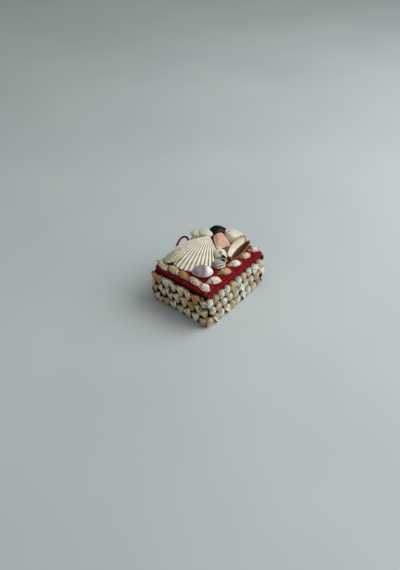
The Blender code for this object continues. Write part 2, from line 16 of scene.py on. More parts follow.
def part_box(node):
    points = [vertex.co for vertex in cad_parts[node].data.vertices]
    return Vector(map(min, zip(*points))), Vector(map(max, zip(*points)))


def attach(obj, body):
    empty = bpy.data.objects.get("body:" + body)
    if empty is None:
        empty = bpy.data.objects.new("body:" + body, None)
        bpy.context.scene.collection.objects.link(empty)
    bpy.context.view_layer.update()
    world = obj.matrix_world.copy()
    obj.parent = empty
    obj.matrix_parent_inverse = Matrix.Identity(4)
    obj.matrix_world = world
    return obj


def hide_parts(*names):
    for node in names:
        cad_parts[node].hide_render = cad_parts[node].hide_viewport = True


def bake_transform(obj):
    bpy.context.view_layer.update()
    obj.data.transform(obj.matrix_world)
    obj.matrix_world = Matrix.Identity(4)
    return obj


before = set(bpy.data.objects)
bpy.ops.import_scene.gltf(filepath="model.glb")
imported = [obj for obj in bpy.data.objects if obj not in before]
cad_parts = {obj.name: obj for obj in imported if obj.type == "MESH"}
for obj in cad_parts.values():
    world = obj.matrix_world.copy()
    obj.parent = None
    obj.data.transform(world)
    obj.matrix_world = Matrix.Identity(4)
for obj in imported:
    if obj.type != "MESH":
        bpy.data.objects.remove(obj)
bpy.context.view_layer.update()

# %% [markdown]
# ## Sizes
#
# Every surface below is worked out in millimetres, because shells are small, and is turned into metres when
# its mesh is made. The sizes of the card box are read from the frame, so the dress always fits the solids.

# %% Sizes of the box and its lid
MM = 0.001


def corners(node):
    """The lowest and highest corner of one of the frame's nodes, in millimetres."""
    return [np.array(corner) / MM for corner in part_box(node)]


lid_low, lid_high = corners("lid_velvet")
WALL_X, WALL_Y = lid_high[0], lid_high[1]
LID_FOOT = lid_low[2]
LID_TOP = 36.0    # the flat edge of the pad, below its dome
PAD_RISE = lid_high[2] - LID_TOP
BODY_HEIGHT = corners("card_tray")[1][2]
print("lid", WALL_X * 2, "by", WALL_Y * 2, "mm, its top at", LID_TOP, "mm")

# %% [markdown]
# ## Camera
#
# The photograph looks down on one corner of the box from a short distance, so its lines converge. The camera
# stands on that side of the box at the same height, and its lens gives the same width of view.

# %% The camera
VIEW_AZIMUTH = math.radians(50.22)
VIEW_DOWN = math.radians(40.40)
VIEW_DISTANCE = 505.8
VIEW_TARGET = np.array([0.09, 9.83, 0.0])

forward = np.array([
    math.sin(VIEW_AZIMUTH) * math.cos(VIEW_DOWN),
    math.cos(VIEW_AZIMUTH) * math.cos(VIEW_DOWN),
    -math.sin(VIEW_DOWN),
])
camera = bpy.data.objects.new("camera", bpy.data.cameras.new("camera"))
bpy.context.scene.collection.objects.link(camera)
camera.data.sensor_width = 36.0
camera.data.lens = 35.37
camera.data.clip_start = 0.01
camera.location = Vector((VIEW_TARGET - forward * VIEW_DISTANCE) * MM)
camera.rotation_euler = Vector(forward).to_track_quat("-Z", "Y").to_euler()
bpy.context.scene.camera = camera
print("camera at", [round(v, 3) for v in camera.location])

# %% [markdown]
# ## Floor and light
#
# The box stands on a plain pale surface. The light is soft and comes from the right and from above, so the
# left wall and the floor beside it fall into a wide, weak shadow. A large area lamp gives that. A weak second
# lamp and a pale world fill the shadow.

# %% Soft lamps and a pale world
scene = bpy.context.scene
scene.view_settings.view_transform = "Standard"
BOX_MIDDLE = Vector((0.0, 0.0, 0.02))


def lamp(name, place, wide, power, colour):
    """A square area lamp at a place in metres, turned towards the middle of the box."""
    light = bpy.data.objects.new(name, bpy.data.lights.new(name, "AREA"))
    light.data.size = wide
    light.data.energy = power
    light.data.color = colour
    light.location = place
    light.rotation_euler = (BOX_MIDDLE - Vector(place)).to_track_quat("-Z", "Y").to_euler()
    scene.collection.objects.link(light)


lamp("window", (0.51, -0.50, 0.74), wide=0.90, power=9.6, colour=(1.0, 0.995, 0.985))
lamp("far_fill", (-0.80, -0.20, 0.62), wide=1.0, power=0.9, colour=(0.95, 0.98, 1.0))

world = bpy.data.worlds.new("room")
world.use_nodes = True
room = world.node_tree.nodes["Background"].inputs
room["Color"].default_value = (0.93, 0.94, 0.91, 1.0)
room["Strength"].default_value = 0.30
scene.world = world

# %% [markdown]
# ## Writing materials as expressions
#
# A procedural material is a small program made of nodes. Writing each Math node by hand is slow to read, so
# one class wraps a socket and gives it Python's operators. `1 - mask` then adds a Subtract node. A second
# class holds one material and adds every other kind of node through a single method.

# %% Numbers that vary over a surface
def both_ways(operation):
    """An operator's two methods: the value on its left, and, reflected, the value on its right."""
    return (lambda value, other: value.math(operation, value, other),
            lambda value, other: value.math(operation, other, value))


class Value:
    """One number socket. Each operator adds the Math node that does it."""

    __add__, __radd__ = both_ways("ADD")
    __sub__, __rsub__ = both_ways("SUBTRACT")
    __mul__, __rmul__ = both_ways("MULTIPLY")
    __pow__, __rpow__ = both_ways("POWER")

    def __init__(self, finish, socket):
        self.finish = finish
        self.socket = socket

    def math(self, operation, *values):
        """One Math node on these values."""
        made = self.finish.node("ShaderNodeMath", {"operation": operation}, dict(enumerate(values)))
        return Value(self.finish, made.outputs[0])

    def waves(self, count, drift=0.0):
        """Waves from -1 to 1, this many while the value rises by 1: cos(2 pi count value + drift)."""
        phase = self * (2 * math.pi * count) + drift
        return phase.math("COSINE", phase)

    def fold(self, size):
        """Up and down between 0 and this size: the distance to the nearest multiple of twice it."""
        return self.math("PINGPONG", self, size)

    def step(self, low, high):
        """0 below low, 1 above high, and a smooth rise between them."""
        settings = {"interpolation_type": "SMOOTHSTEP"}
        sockets = {0: self, 1: low, 2: high, 3: 0.0, 4: 1.0}
        made = self.finish.node("ShaderNodeMapRange", settings, sockets)
        return Value(self.finish, made.outputs[0])


# %% One material and its nodes
class Finish:
    """One procedural material on the Principled shader."""

    def __init__(self, name, roughness=0.5, sheen=0.0, sheen_tint=(1, 1, 1), coat=0.0, specular=0.5):
        self.material = bpy.data.materials.new(name)
        self.material.use_nodes = True
        self.tree = self.material.node_tree
        self.shader = self.tree.nodes["Principled BSDF"]
        uniform = {
            "Roughness": roughness, "Specular IOR Level": specular, "Coat Weight": coat,
            "Coat Roughness": 0.12, "Sheen Weight": sheen, "Sheen Roughness": 0.4,
            "Sheen Tint": (*sheen_tint, 1.0),
        }
        for socket, value in uniform.items():
            self.shader.inputs[socket].default_value = value

    def plug(self, socket, value):
        """Links a socket or sets its value. A string is a colour in hexadecimal digits."""
        if isinstance(value, Value):
            value = value.socket
        if isinstance(value, bpy.types.NodeSocket):
            self.tree.links.new(value, socket)
        elif isinstance(value, str):
            socket.default_value = (*srgb(value), 1.0)
        else:
            socket.default_value = value

    def node(self, kind, settings=None, sockets=None):
        """Adds any node: its settings are set first, then the values and links of its sockets."""
        made = self.tree.nodes.new(kind)
        for key, value in (settings or {}).items():
            setattr(made, key, value)
        for key, value in (sockets or {}).items():
            self.plug(made.inputs[key], value)
        return made

    def shade(self, colour, height, depth, strength, roughness=None):
        """Links the colour, the relief and, where it varies, the roughness to the shader.

        The relief is a bump that makes a height from 0 to 1 look this many millimetres deep.
        """
        sockets = {"Height": height, "Distance": depth * MM, "Strength": strength}
        relief = self.node("ShaderNodeBump", None, sockets)
        self.plug(self.shader.inputs["Base Color"], colour)
        self.plug(self.shader.inputs["Normal"], relief.outputs[0])
        if roughness is not None:
            self.plug(self.shader.inputs["Roughness"], roughness)

    def noise(self, size, detail=3.0, rough=0.55, stretch=(1, 1, 1)):
        """Soft noise from 0 to 1, its patches about this many millimetres wide, stretched along each axis."""
        place = self.node("ShaderNodeTexCoord").outputs["Object"]
        moved = self.node("ShaderNodeMapping", {"vector_type": "POINT"}, {"Vector": place, "Scale": stretch})
        sockets = {"Vector": moved.outputs[0], "Scale": 1 / (size * MM), "Detail": detail, "Roughness": rough}
        made = self.node("ShaderNodeTexNoise", {"noise_dimensions": "3D"}, sockets)
        return Value(self, made.outputs[0])

    def over(self, factor, below, above, blend="MIX"):
        """The colour below where factor is 0 and the colour above where it is 1."""
        settings = {"data_type": "RGBA", "blend_type": blend}
        return self.node("ShaderNodeMix", settings, {0: factor, 6: below, 7: above}).outputs[2]

    def times(self, factor, below, above):
        """The colour below multiplied by the colour above, as far as the factor says."""
        return self.over(factor, below, above, "MULTIPLY")

    def attribute(self, name, output="Fac"):
        """A value stored on the mesh."""
        made = self.node("ShaderNodeAttribute", {"attribute_name": name})
        return made.outputs[output] if output == "Color" else Value(self, made.outputs[output])

    def uv(self):
        """How far round and how far along its piece a point lies, from 0 to 1."""
        made = self.node("ShaderNodeUVMap", {"uv_map": "Around"})
        split = self.node("ShaderNodeSeparateXYZ", None, {0: made.outputs[0]})
        return Value(self, split.outputs[0]), Value(self, split.outputs[1])


def srgb(code):
    """A colour written as six hexadecimal digits, as the linear numbers that the shader takes."""
    parts = [int(code[k:k + 2], 16) / 255 for k in (0, 2, 4)]
    return tuple(p / 12.92 if p <= 0.04045 else ((p + 0.055) / 1.055) ** 2.4 for p in parts)


print("materials are written as expressions")

# %% [markdown]
# ## The floor
#
# One flat sheet, large enough that its edge is never seen. Its colour drifts very slightly, as painted
# surfaces do.

# %% The floor
FLOOR_HALF = 3.0
floor_finish = Finish("pale floor", roughness=0.75, specular=0.2)
drift = floor_finish.noise(180.0, detail=2.0)
floor_colour = floor_finish.over(drift.step(0.3, 0.7), "bcc6c8", "c2cbcd")
floor_finish.shade(floor_colour, floor_finish.noise(1.6), 0.05, 0.2)
ground = bpy.data.meshes.new("floor")
floor_corners = [(FLOOR_HALF * x, FLOOR_HALF * y, 0) for x, y in ((-1, -1), (1, -1), (1, 1), (-1, 1))]
ground.from_pydata(floor_corners, [], [(0, 1, 2, 3)])
ground.materials.append(floor_finish.material)
floor = bpy.data.objects.new("floor", ground)
scene.collection.objects.link(floor)
print("floor", 2 * FLOOR_HALF, "m wide")

# %% [markdown]
# ## Closed surfaces from grids
#
# A shell, a cord or a padded lid is a skin with no holes. Each one below is a grid of points: rows along the
# piece and columns round it, with a single point closing either end. The same class keeps two numbers for
# every face corner, how far round (u) and how far along (v), so that a pattern can follow the surface.

# %% A closed surface
def joined(*parts):
    """Arrays spread over one common shape, and joined as their last axis: x, y and z, or u and v."""
    return np.stack(np.broadcast_arrays(*parts), axis=-1)


class Surface:
    """A closed skin: grid rows joined in rings, with one point at each end.

    Row r and column c make the quad (r, c), (r, c+1), (r+1, c+1), (r+1, c), and the last column joins the
    first. If the signed volume, a sixth of the sum of a . (b x c) over the triangles, is negative, every
    face is turned round.
    """

    def __init__(self, grid, first, last, along=None):
        self.shape = rows, cols = grid.shape[:2]
        along = np.linspace(0, 1, rows) if along is None else np.asarray(along)
        self.points = np.concatenate([grid.reshape(-1, 3), [first], [last]]).astype(float)
        row, col = np.meshgrid(np.arange(rows - 1), np.arange(cols), indexing="ij")
        here, beside = row * cols + col, row * cols + (col + 1) % cols
        self.quads = joined(here, beside, beside + cols, here + cols).reshape(-1, 4)
        u = joined(col, col + 1, col + 1, col) / cols
        v = joined(along[row], along[row], along[row + 1], along[row + 1])
        self.quad_uv = joined(u, v).reshape(-1, 4, 2)
        ring = np.arange(cols)
        after = (ring + 1) % cols
        top = (rows - 1) * cols
        self.tris = np.concatenate([joined(rows * cols, after, ring),
                                    joined(top + ring, top + after, rows * cols + 1)])
        left, mid, right = ring / cols, (ring + 0.5) / cols, (ring + 1) / cols
        tri_u = np.concatenate([joined(mid, right, left), joined(left, right, mid)])
        self.tri_uv = joined(tri_u, np.repeat(along[[0, -1]], cols)[:, None])
        self.values = {}
        a, b, c, d = (self.points[self.quads[:, k]] for k in range(4))
        volume = np.einsum("ij,ij->", a, np.cross(b, c)) + np.einsum("ij,ij->", a, np.cross(c, d))
        if volume < 0:
            self.quads, self.quad_uv = self.quads[:, ::-1], self.quad_uv[:, ::-1]
            self.tris, self.tri_uv = self.tris[:, ::-1], self.tri_uv[:, ::-1]

    def value(self, name, grid, first=0.0, last=0.0):
        """Stores one number a point, given for the grid, its rows or its columns, and for its two ends."""
        self.values[name] = np.concatenate([np.broadcast_to(grid, self.shape).ravel(), [first], [last]])
        return self

    def moved(self, turn, middle):
        """The surface turned by a 3 by 3 matrix and set on a point."""
        self.points = self.points @ np.array(turn).T + np.asarray(middle)
        return self


# %% From surfaces to one mesh
def make_piece(name, surfaces, finish, body, nodes, tints=None):
    """One mesh of closed surfaces in millimetres, riding on a body in place of the frame's nodes.

    The tints give each surface its own ground colour.
    """
    starts = np.cumsum([0] + [len(item.points) for item in surfaces])
    points = np.concatenate([item.points for item in surfaces]) * MM
    quads = np.concatenate([item.quads + start for item, start in zip(surfaces, starts)])
    tris = np.concatenate([item.tris + start for item, start in zip(surfaces, starts)])
    mesh = bpy.data.meshes.new(name)
    mesh.from_pydata(points, [], quads.tolist() + tris.tolist())
    mesh.shade_smooth()
    maps = [item.quad_uv for item in surfaces] + [item.tri_uv for item in surfaces]
    corner_uv = np.concatenate([part.reshape(-1, 2) for part in maps])
    mesh.uv_layers.new(name="Around").data.foreach_set("uv", corner_uv.ravel())
    for key in sorted({key for item in surfaces for key in item.values}):
        stored = [item.values.get(key, np.zeros(len(item.points))) for item in surfaces]
        mesh.attributes.new(key, "FLOAT", "POINT").data.foreach_set("value", np.concatenate(stored))
    if tints:
        spread = [np.repeat([(*srgb(tint), 1.0)], len(item.points), axis=0)
                  for tint, item in zip(tints, surfaces)]
        colours = mesh.attributes.new("tint", "FLOAT_COLOR", "POINT")
        colours.data.foreach_set("color", np.concatenate(spread).ravel())
    mesh.materials.append(finish.material)
    piece = bpy.data.objects.new(name, mesh)
    scene.collection.objects.link(piece)
    if body:
        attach(piece, body)
    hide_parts(*nodes)
    print(name, len(mesh.polygons), "faces")
    return piece


# %% [markdown]
# ## A coiled snail shell
#
# A snail builds its shell as a tube that winds round an axis and grows by the same share at every turn. So
# one tube on a logarithmic spiral gives every snail here, from the tall ribbed ones on the rim to the round
# one in the middle: only the growth, the number of turns and the slimness differ. Making the real spiral,
# rather than a cone with grooves, also gives a true mouth with a lip. At the mouth the rows of the grid turn
# back into the tube and close deep inside it.

# %% The snail shell's form
def coiled(length, girth, grow=1.65, turns=4.2, mouth=0.0, body=0.62, hollow=0.46, ribs=0, rib=0.0, lip=0.07,
           full=1.0, rows=15, cols=12):
    """A coiled shell along +X, its tip at -length / 2 and its mouth facing +Z on the +Y side.

    With theta the angle wound, e = grow ^ ((theta - mouth) / 2 pi) and psi the angle round the tube:
    x = e (body + (1 - body) sin psi) length - length / 2, and the distance from the axis is
    e^full (hollow + (1 - hollow) cos psi) g (1 + rib cos(ribs theta)), where g (1 + grow ^ -0.5) = girth.
    With full below 1 the spire is plumper than a cone.
    """
    end = math.radians(mouth)
    wound = end - 2 * np.pi * np.linspace(turns, 0, int(rows * turns))
    # The tube flares over its last three rows. Then five mouth rows turn back into it and shrink.
    back = np.array([0.0, 0.03, 0.10, 0.28, 0.5])
    theta = np.concatenate([wound, end - back])
    size = np.concatenate([np.ones_like(wound), [1 + lip, 0.86, 0.74, 0.64, 0.45]])
    size[len(wound) - 3:len(wound)] += np.array([0.1, 0.5, 0.9]) * lip
    hole = np.concatenate([np.zeros(len(wound)), [0.0, 0.25, 0.8, 1.0, 1.0]])
    edge = np.concatenate([np.zeros(len(wound) - 2), [0.4, 1.0], [1.0, 0.8, 0.2, 0.0, 0.0]])
    e = grow ** ((theta - end) / (2 * np.pi))
    psi = np.arange(cols) / cols * 2 * np.pi
    g = girth / (1 + grow**-0.5)
    ridge = 1 + rib * np.cos(ribs * theta)[:, None] * np.clip(np.cos(psi) + 0.3, 0, 1)
    x = e[:, None] * (body + (1 - body) * size[:, None] * np.sin(psi)) * length
    reach = e[:, None] ** full * (hollow + (1 - hollow) * size[:, None] * np.cos(psi)) * g * ridge
    grid = joined(x - length / 2, reach * np.cos(theta)[:, None], reach * np.sin(theta)[:, None])
    shell = Surface(grid, grid[0].mean(axis=0), grid[-1].mean(axis=0))
    shell.value("hole", hole[:, None], 0.0, 1.0).value("lip", edge[:, None])
    return shell.value("wound", theta[:, None] / (2 * np.pi) + 20, 10.0, 20.0)


def bedded(shell, lift, share=0.3):
    """Presses the underside: what is below the axis keeps a share of its depth, and all is lifted."""
    low = shell.points[:, 2] < 0
    shell.points[low, 2] *= share
    shell.points[:, 2] += lift
    return shell


trial = coiled(12.0, 7.0)
print("a plain snail has", len(trial.points), "points")

# %% [markdown]
# ## A bivalve's valve
#
# A cockle, clam or scallop grows outwards from its beak, so its outline is the same curve at every age, only
# larger. The valve is therefore that outline drawn in towards the beak, row by row, over a swelling height.
# The valves on the lid lie open side down on a bed of glue, which is made in the same skin.

# %% The outline and the height of a valve
BED = 0.70    # the glue starts at this share of the way from beak to rim


def oval_rim(length, width, angle):
    """An oval seen from its beak, which is a little inside its edge: where each ray meets the ellipse."""
    half_x, half_y = width / 2, length / 2
    middle = 0.78 * half_x
    a = (np.cos(angle) / half_x) ** 2 + (np.sin(angle) / half_y) ** 2
    b = -2 * middle * np.cos(angle) / half_x**2
    c = (middle / half_x) ** 2 - 1
    reach = (-b + np.sqrt(b * b - 4 * a * c)) / (2 * a)
    return reach * np.cos(angle), reach * np.sin(angle)


def square_rim(length, width, top, angle):
    """A rounded square that widens from its beak side.

    x = length (0.42 + sgn(cos a) |cos a|^0.3 / 2) and y = width / 2 sgn(sin a) |sin a|^0.3, times a share
    that grows along x from top to 1.
    """
    x = length / 2 * np.sign(np.cos(angle)) * np.abs(np.cos(angle)) ** 0.3
    y = width / 2 * np.sign(np.sin(angle)) * np.abs(np.sin(angle)) ** 0.3
    return x + 0.42 * length, y * (top + (1 - top) * (0.5 + x / length))


def swell(share):
    """Height from beak (0) to rim (1): (1 - s^2.3)(1 - e^(-10 s))^0.8 + 0.22 (1 - s)^6."""
    return (1 - share**2.3) * (1 - np.exp(-share / 0.10)) ** 0.8 + 0.22 * (1 - share) ** 6


# %% A clam on its bed
def clam(length, width, depth, foot, wall=0.9, ripple=0.0, rows=26, cols=72, top=None):
    """A valve on its bed: rows from the beak over the top to the rim, under it and down the glue.

    The rim is an oval, or a rounded square whose narrow side is the share top of its wide one. The square
    one has no beak: its height is depth (1 - s^2.6). Ripples follow the growth, nine of them.
    """
    angle = np.linspace(-np.pi, np.pi, cols, endpoint=False)
    rim_x, rim_y = oval_rim(length, width, angle) if top is None else square_rim(length, width, top, angle)
    middle = 0.45 * (width if top is None else length)
    out = np.linspace(0.03, 1.0, rows) ** 0.85
    share = np.concatenate([out, [1.0, 0.93, BED, BED * 0.98]])
    rise = swell(out) if top is None else 1 - out**2.6
    lift = np.concatenate([depth * rise + ripple * np.cos(2 * np.pi * 9 * out**0.8) * out, [0] * 4])
    lift[rows - 1:] = [0.25 * wall, -0.5 * wall, -0.6 * wall, -0.6 * wall, -foot]
    grid = joined(share[:, None] * rim_x, share[:, None] * rim_y, lift[:, None])
    grid[rows + 1:, :, 0] += middle * (1 - share[rows + 1:, None])
    along = np.concatenate([out * 0.9, [0.92, 0.94, 0.97, 1.0]])
    return Surface(grid, (0.0, 0.0, lift[0]), (middle, 0.0, -foot), along=along)


print("a plain clam has", len(clam(20.0, 17.0, 5.0, 3.0).points), "points")

# %% [markdown]
# ## Laying a shell on the lid
#
# The lid's top is padded: flat at its edge and domed over the middle. A shell is turned, set on its spot and
# pressed down, and whatever would enter the pad is flattened against it. The spots, turns and heights are
# those of the solids, or close to them where the photograph asks for it.

# %% Placing on the padded top
def pad_height(x, y):
    """LID_TOP + PAD_RISE (1 - |x / X|^4)(1 - |y / Y|^4)."""
    over_x = 1 - np.minimum(np.abs(x) / WALL_X, 1) ** 4
    over_y = 1 - np.minimum(np.abs(y) / WALL_Y, 1) ** 4
    return LID_TOP + PAD_RISE * over_x * over_y


def turned(heading=0.0, pitch=0.0, roll=0.0):
    """A turn about Z, then nose-down about Y, then a roll about X, all in degrees."""
    turn = Matrix.Rotation(math.radians(heading), 3, "Z")
    turn = turn @ Matrix.Rotation(math.radians(pitch), 3, "Y")
    return np.array(turn @ Matrix.Rotation(math.radians(roll), 3, "X"))


def pressed(shell, above=0.15):
    """Flattens what would enter the pad, or come this close to it."""
    pad = pad_height(shell.points[:, 0], shell.points[:, 1]) + above
    shell.points[:, 2] = np.maximum(shell.points[:, 2], pad)
    return shell


def lay(shell, spot, heading, rise=0.0, pitch=0.0, roll=0.0):
    """Sets a shell on the lid at a spot given in shares of the lid's half length and half width."""
    x, y = spot[0] * WALL_X, spot[1] * WALL_Y
    return pressed(shell.moved(turned(heading, pitch, roll), (x, y, pad_height(x, y) + rise)))


def on_lid(name, form, finish, node, slot, spot, heading, tints=None, **how):
    """One piece: a shell laid on the lid in place of its solid."""
    return make_piece(name, [lay(form, spot, heading, **how)], finish, "lid", [node], tints)


print("pad height in the middle", pad_height(0, 0))

# %% [markdown]
# ## Velvet
#
# Velvet is a cut pile: thousands of short upright threads. It looks dark where they point at the eye and
# lighter where they lie over, so its colour shifts in soft patches. Sheen gives the pale edge, and two sizes
# of noise give the brushed patches and the pile itself. On the lid a bright red painted highlight runs along
# the lit roll of its edge, and pale pink painted highlights mark the folds at its tucked corners: two values
# on the mesh say where.

# %% Velvet and card
def velvet(name, deep, bright, sheen=0.25, patch=4.0, painted_highlights=False):
    """A pile fabric between a deep and a bright colour, with painted highlights on an edge and on corner
    folds.
    """
    cloth = Finish(name, roughness=0.85, sheen=sheen, sheen_tint=(1.0, 0.30, 0.32), specular=0.1)
    brushed = cloth.noise(patch, detail=3.0)
    pile = cloth.noise(0.32, detail=2.0)
    colour = cloth.over((brushed * 0.7 + pile * 0.5).step(0.35, 0.85), deep, bright)
    if painted_highlights:
        # Painted highlights: bright red along the lit roll of the lid's edge, pale pink on the folds at the
        # tucked corners.
        edge_highlight = cloth.attribute("edge") * (brushed * 0.6 + pile * 0.5).step(0.45, 0.70)
        colour = cloth.over(edge_highlight * 0.6, colour, "b81824")
        colour = cloth.over(cloth.attribute("tuck") * pile.step(0.3, 0.6) * 0.6, colour, "c9898c")
    cloth.shade(colour, pile * 0.7 + brushed * 0.6, 0.22, 0.8)
    return cloth


def board(name, dark, light):
    """Grey-brown card: pressed fibres, so long thin streaks with a little fleck."""
    card = Finish(name, roughness=0.9, specular=0.2)
    fibre = card.noise(0.5, detail=4.0, stretch=(0.3, 1.0, 1.0))
    colour = card.over((fibre + card.noise(3.0) * 0.4).step(0.4, 0.9), dark, light)
    card.shade(colour, fibre, 0.08, 0.6)
    return card


def dress(node, finish):
    """Gives one of the frame's own solids this finish."""
    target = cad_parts[node]
    target.data.materials.clear()
    target.data.materials.append(finish.material)


# The lid's velvet carries the painted highlights on its edge and corners.
lid_velvet_finish = velvet("lid velvet", "45050a", "96141e", sheen=0.12, painted_highlights=True)
for node, finish in {
    "card_tray": board("box card", "7d6b52", "a08c6e"),
    "lid_board": board("lid card", "7d6b52", "a08c6e"),
    # The wall velvet is darkened to near black-brown: painted shade for the gaps between the wall shells, over
    # the velvet's own dark red.
    "wall_velvet": velvet("wall velvet", "1d0506", "33090c", sheen=0.0),
    "base_cloth": velvet("base felt", "3c070b", "54101a", sheen=0.1, patch=2.0),
    "lining": velvet("lining velvet", "6a0d15", "8e1b26"),
    "lid_lining": velvet("lid lining velvet", "6a0d15", "8e1b26"),
}.items():
    dress(node, finish)
print("cloth and card dressed")

# %% [markdown]
# ## The padded lid
#
# Velvet is stretched over wadding and folded down over the edges of the lid, so the top is domed, the edge is
# a soft roll with small pulls in it, and each corner has a fold where the spare cloth is tucked. The skin is
# rings of a rounded rectangle: from the middle of the top out to the edge, down the side and back inside.

# %% The lid's velvet cover
def rounded_rectangle(half_x, half_y, corner, turns):
    """Points on a rounded rectangle at the given shares of a full turn, spaced by length.

    The outline is four straight sides and four quarter circles, and each share is a length along it.
    """
    straight = np.array([half_y - corner, half_x - corner]) * 2
    quarter = corner * np.pi / 2
    lengths = np.array([straight[0] / 2, quarter, straight[1], quarter, straight[0], quarter, straight[1],
                        quarter, straight[0] / 2])
    stops = np.concatenate([[0], np.cumsum(lengths)])
    at = np.asarray(turns) * stops[-1]
    part = np.clip(np.searchsorted(stops, at, side="right") - 1, 0, 8)
    along = at - stops[part]
    cx, cy = half_x - corner, half_y - corner
    bend = along / corner
    starts = np.array([[half_x, 0], [cx, cy], [cx, half_y], [-cx, cy], [-half_x, cy], [-cx, -cy],
                       [-cx, -half_y], [cx, -cy], [half_x, -cy]])
    heads = np.array([[0, 1], [0, 0], [-1, 0], [0, 0], [0, -1], [0, 0], [1, 0], [0, 0], [0, 1]])
    first = np.array([0, 0, 0, 1, 0, 2, 0, 3, 0]) * np.pi / 2
    curved = np.isin(part, [1, 3, 5, 7])
    x = starts[part, 0] + np.where(curved, corner * np.cos(first[part] + bend), heads[part, 0] * along)
    y = starts[part, 1] + np.where(curved, corner * np.sin(first[part] + bend), heads[part, 1] * along)
    return x, y


# The radius of the soft roll at the edge, and of the corners in the middle, on the roll and down the side.
LID_ROLL, MIDDLE_CORNER, ROLL_CORNER, SIDE_CORNER = 1.3, 0.8, 1.6, 1.5
# Each ring of the side and of the inside: how far it is drawn in, and its height.
SIDE_RINGS = [(0.06, 34.2), (0.02, 33.6), (0.0, 33.0), (0.05, 32.3), (0.35, LID_FOOT)]
INSIDE_RINGS = [(0.7, LID_FOOT), (0.72, 33.0), (0.75, 35.2), (4.0, 35.25)]
PULL_DEPTH, PULL_FOOT = 0.22, 33.4
turns = np.arange(240) / 240
shares = np.linspace(0.05, 0.985, 16)
bends = np.linspace(0, np.pi / 2, 7)


def lid_ring(inset, corner, height, share=1.0):
    """A ring of the cover, drawn in from the lid's outline and shrunk to a share, at a height."""
    half_x, half_y = (WALL_X - inset) * share, (WALL_Y - inset) * share
    x, y = rounded_rectangle(half_x, half_y, corner * share, turns)
    return joined(x, y, pad_height(x, y) if height is None else height)


rings = [lid_ring(LID_ROLL, MIDDLE_CORNER, None, share) for share in shares]
rings += [lid_ring(LID_ROLL * (1 - math.sin(bend)), ROLL_CORNER,
                   LID_TOP + 0.25 - LID_ROLL * (1 - math.cos(bend))) for bend in bends]
rings += [lid_ring(inset, SIDE_CORNER, height) for inset, height in SIDE_RINGS + INSIDE_RINGS]
grid = np.array(rings)
outer = np.arange(len(rings)) < len(rings) - len(INSIDE_RINGS)
outward = grid[:, :, :2] / np.array([WALL_X, WALL_Y])
edge = np.clip((np.abs(outward).max(axis=2) - 0.86) / 0.12, 0, 1)
pulls = 0.5 * np.sin(turns * 2 * np.pi * 23 + 1.3) + 0.5 * np.sin(turns * 2 * np.pi * 41 + 0.4)
pulled = PULL_DEPTH * edge * pulls[None, :] * (grid[:, :, 2] > PULL_FOOT)
grid[:, :, 2] += np.where(outer[:, None], pulled, 0)

# %% The cover's painted highlights along its edge and at its tucked corners
cover = Surface(grid, (0, 0, float(pad_height(0, 0))), (0, 0, INSIDE_RINGS[-1][1]))
to_corner = np.hypot(np.abs(grid[:, :, 0]) - WALL_X + 0.8, np.abs(grid[:, :, 1]) - WALL_Y + 0.8)
# Where the painted highlights go: a band along the lit roll of the edge, and spots on the folds at the
# corners.
cover.value("edge", edge * np.exp(-(((grid[:, :, 2] - LID_TOP + 0.1) / 0.8) ** 2)))
cover.value("tuck", np.exp(-((to_corner / 0.9) ** 2)) * outer[:, None])
lid_cover = make_piece("lid_cover", [cover], lid_velvet_finish, "lid", ["lid_velvet"])

# %% [markdown]
# ## The cloth hinge
#
# The hinge is a strip of the same velvet glued to the back wall and to the back of the lid. Between them it
# bends when the lid opens.

# %% The hinge strip
hinge_low, hinge_high = corners("hinge_cloth")
GAP_HEIGHT = 31.65    # the strip dips a little where the lid meets the box
tall = np.linspace(0, 1, 26)
heights = hinge_low[2] + (hinge_high[2] - hinge_low[2]) * tall
swollen = 0.10 * np.sin(np.pi * tall) - 0.16 * np.exp(-(((heights - GAP_HEIGHT) / 0.5) ** 2))
hem = np.clip((tall - 0.93) / 0.07, 0, 1) * 0.10
spread = np.linspace(-1, 1, 90)
half_strip = (hinge_high[0] - hinge_low[0]) / 2
outside = hinge_low[1] + 0.12 - swollen - hem
inside = np.full_like(tall, hinge_high[1])
loop_y = np.concatenate([outside, inside[::-1]])
loop_z = np.concatenate([heights, heights[::-1]])
waver = 0.05 * np.sin(spread * 17) + 0.04 * np.sin(spread * 31 + 1)
on_outside = np.arange(len(loop_y)) < len(tall)
grid = joined((spread * half_strip)[:, None], loop_y + waver[:, None] * on_outside, loop_z)
middle = (hinge_low + hinge_high)[1:] / 2
strip = Surface(grid, (-half_strip, *middle), (half_strip, *middle))
hinge_finish = velvet("hinge velvet", "5e0a11", "9c1b25", 0.1)
hinge_strip = make_piece("hinge_strip", [strip], hinge_finish, None, ["hinge_cloth"])

# %% [markdown]
# ## The pull loop
#
# A short red cord of two twisted strands stands in an arch against the front edge of the lid, with both ends
# glued. The twist is a two-lobed section that turns as it goes along.

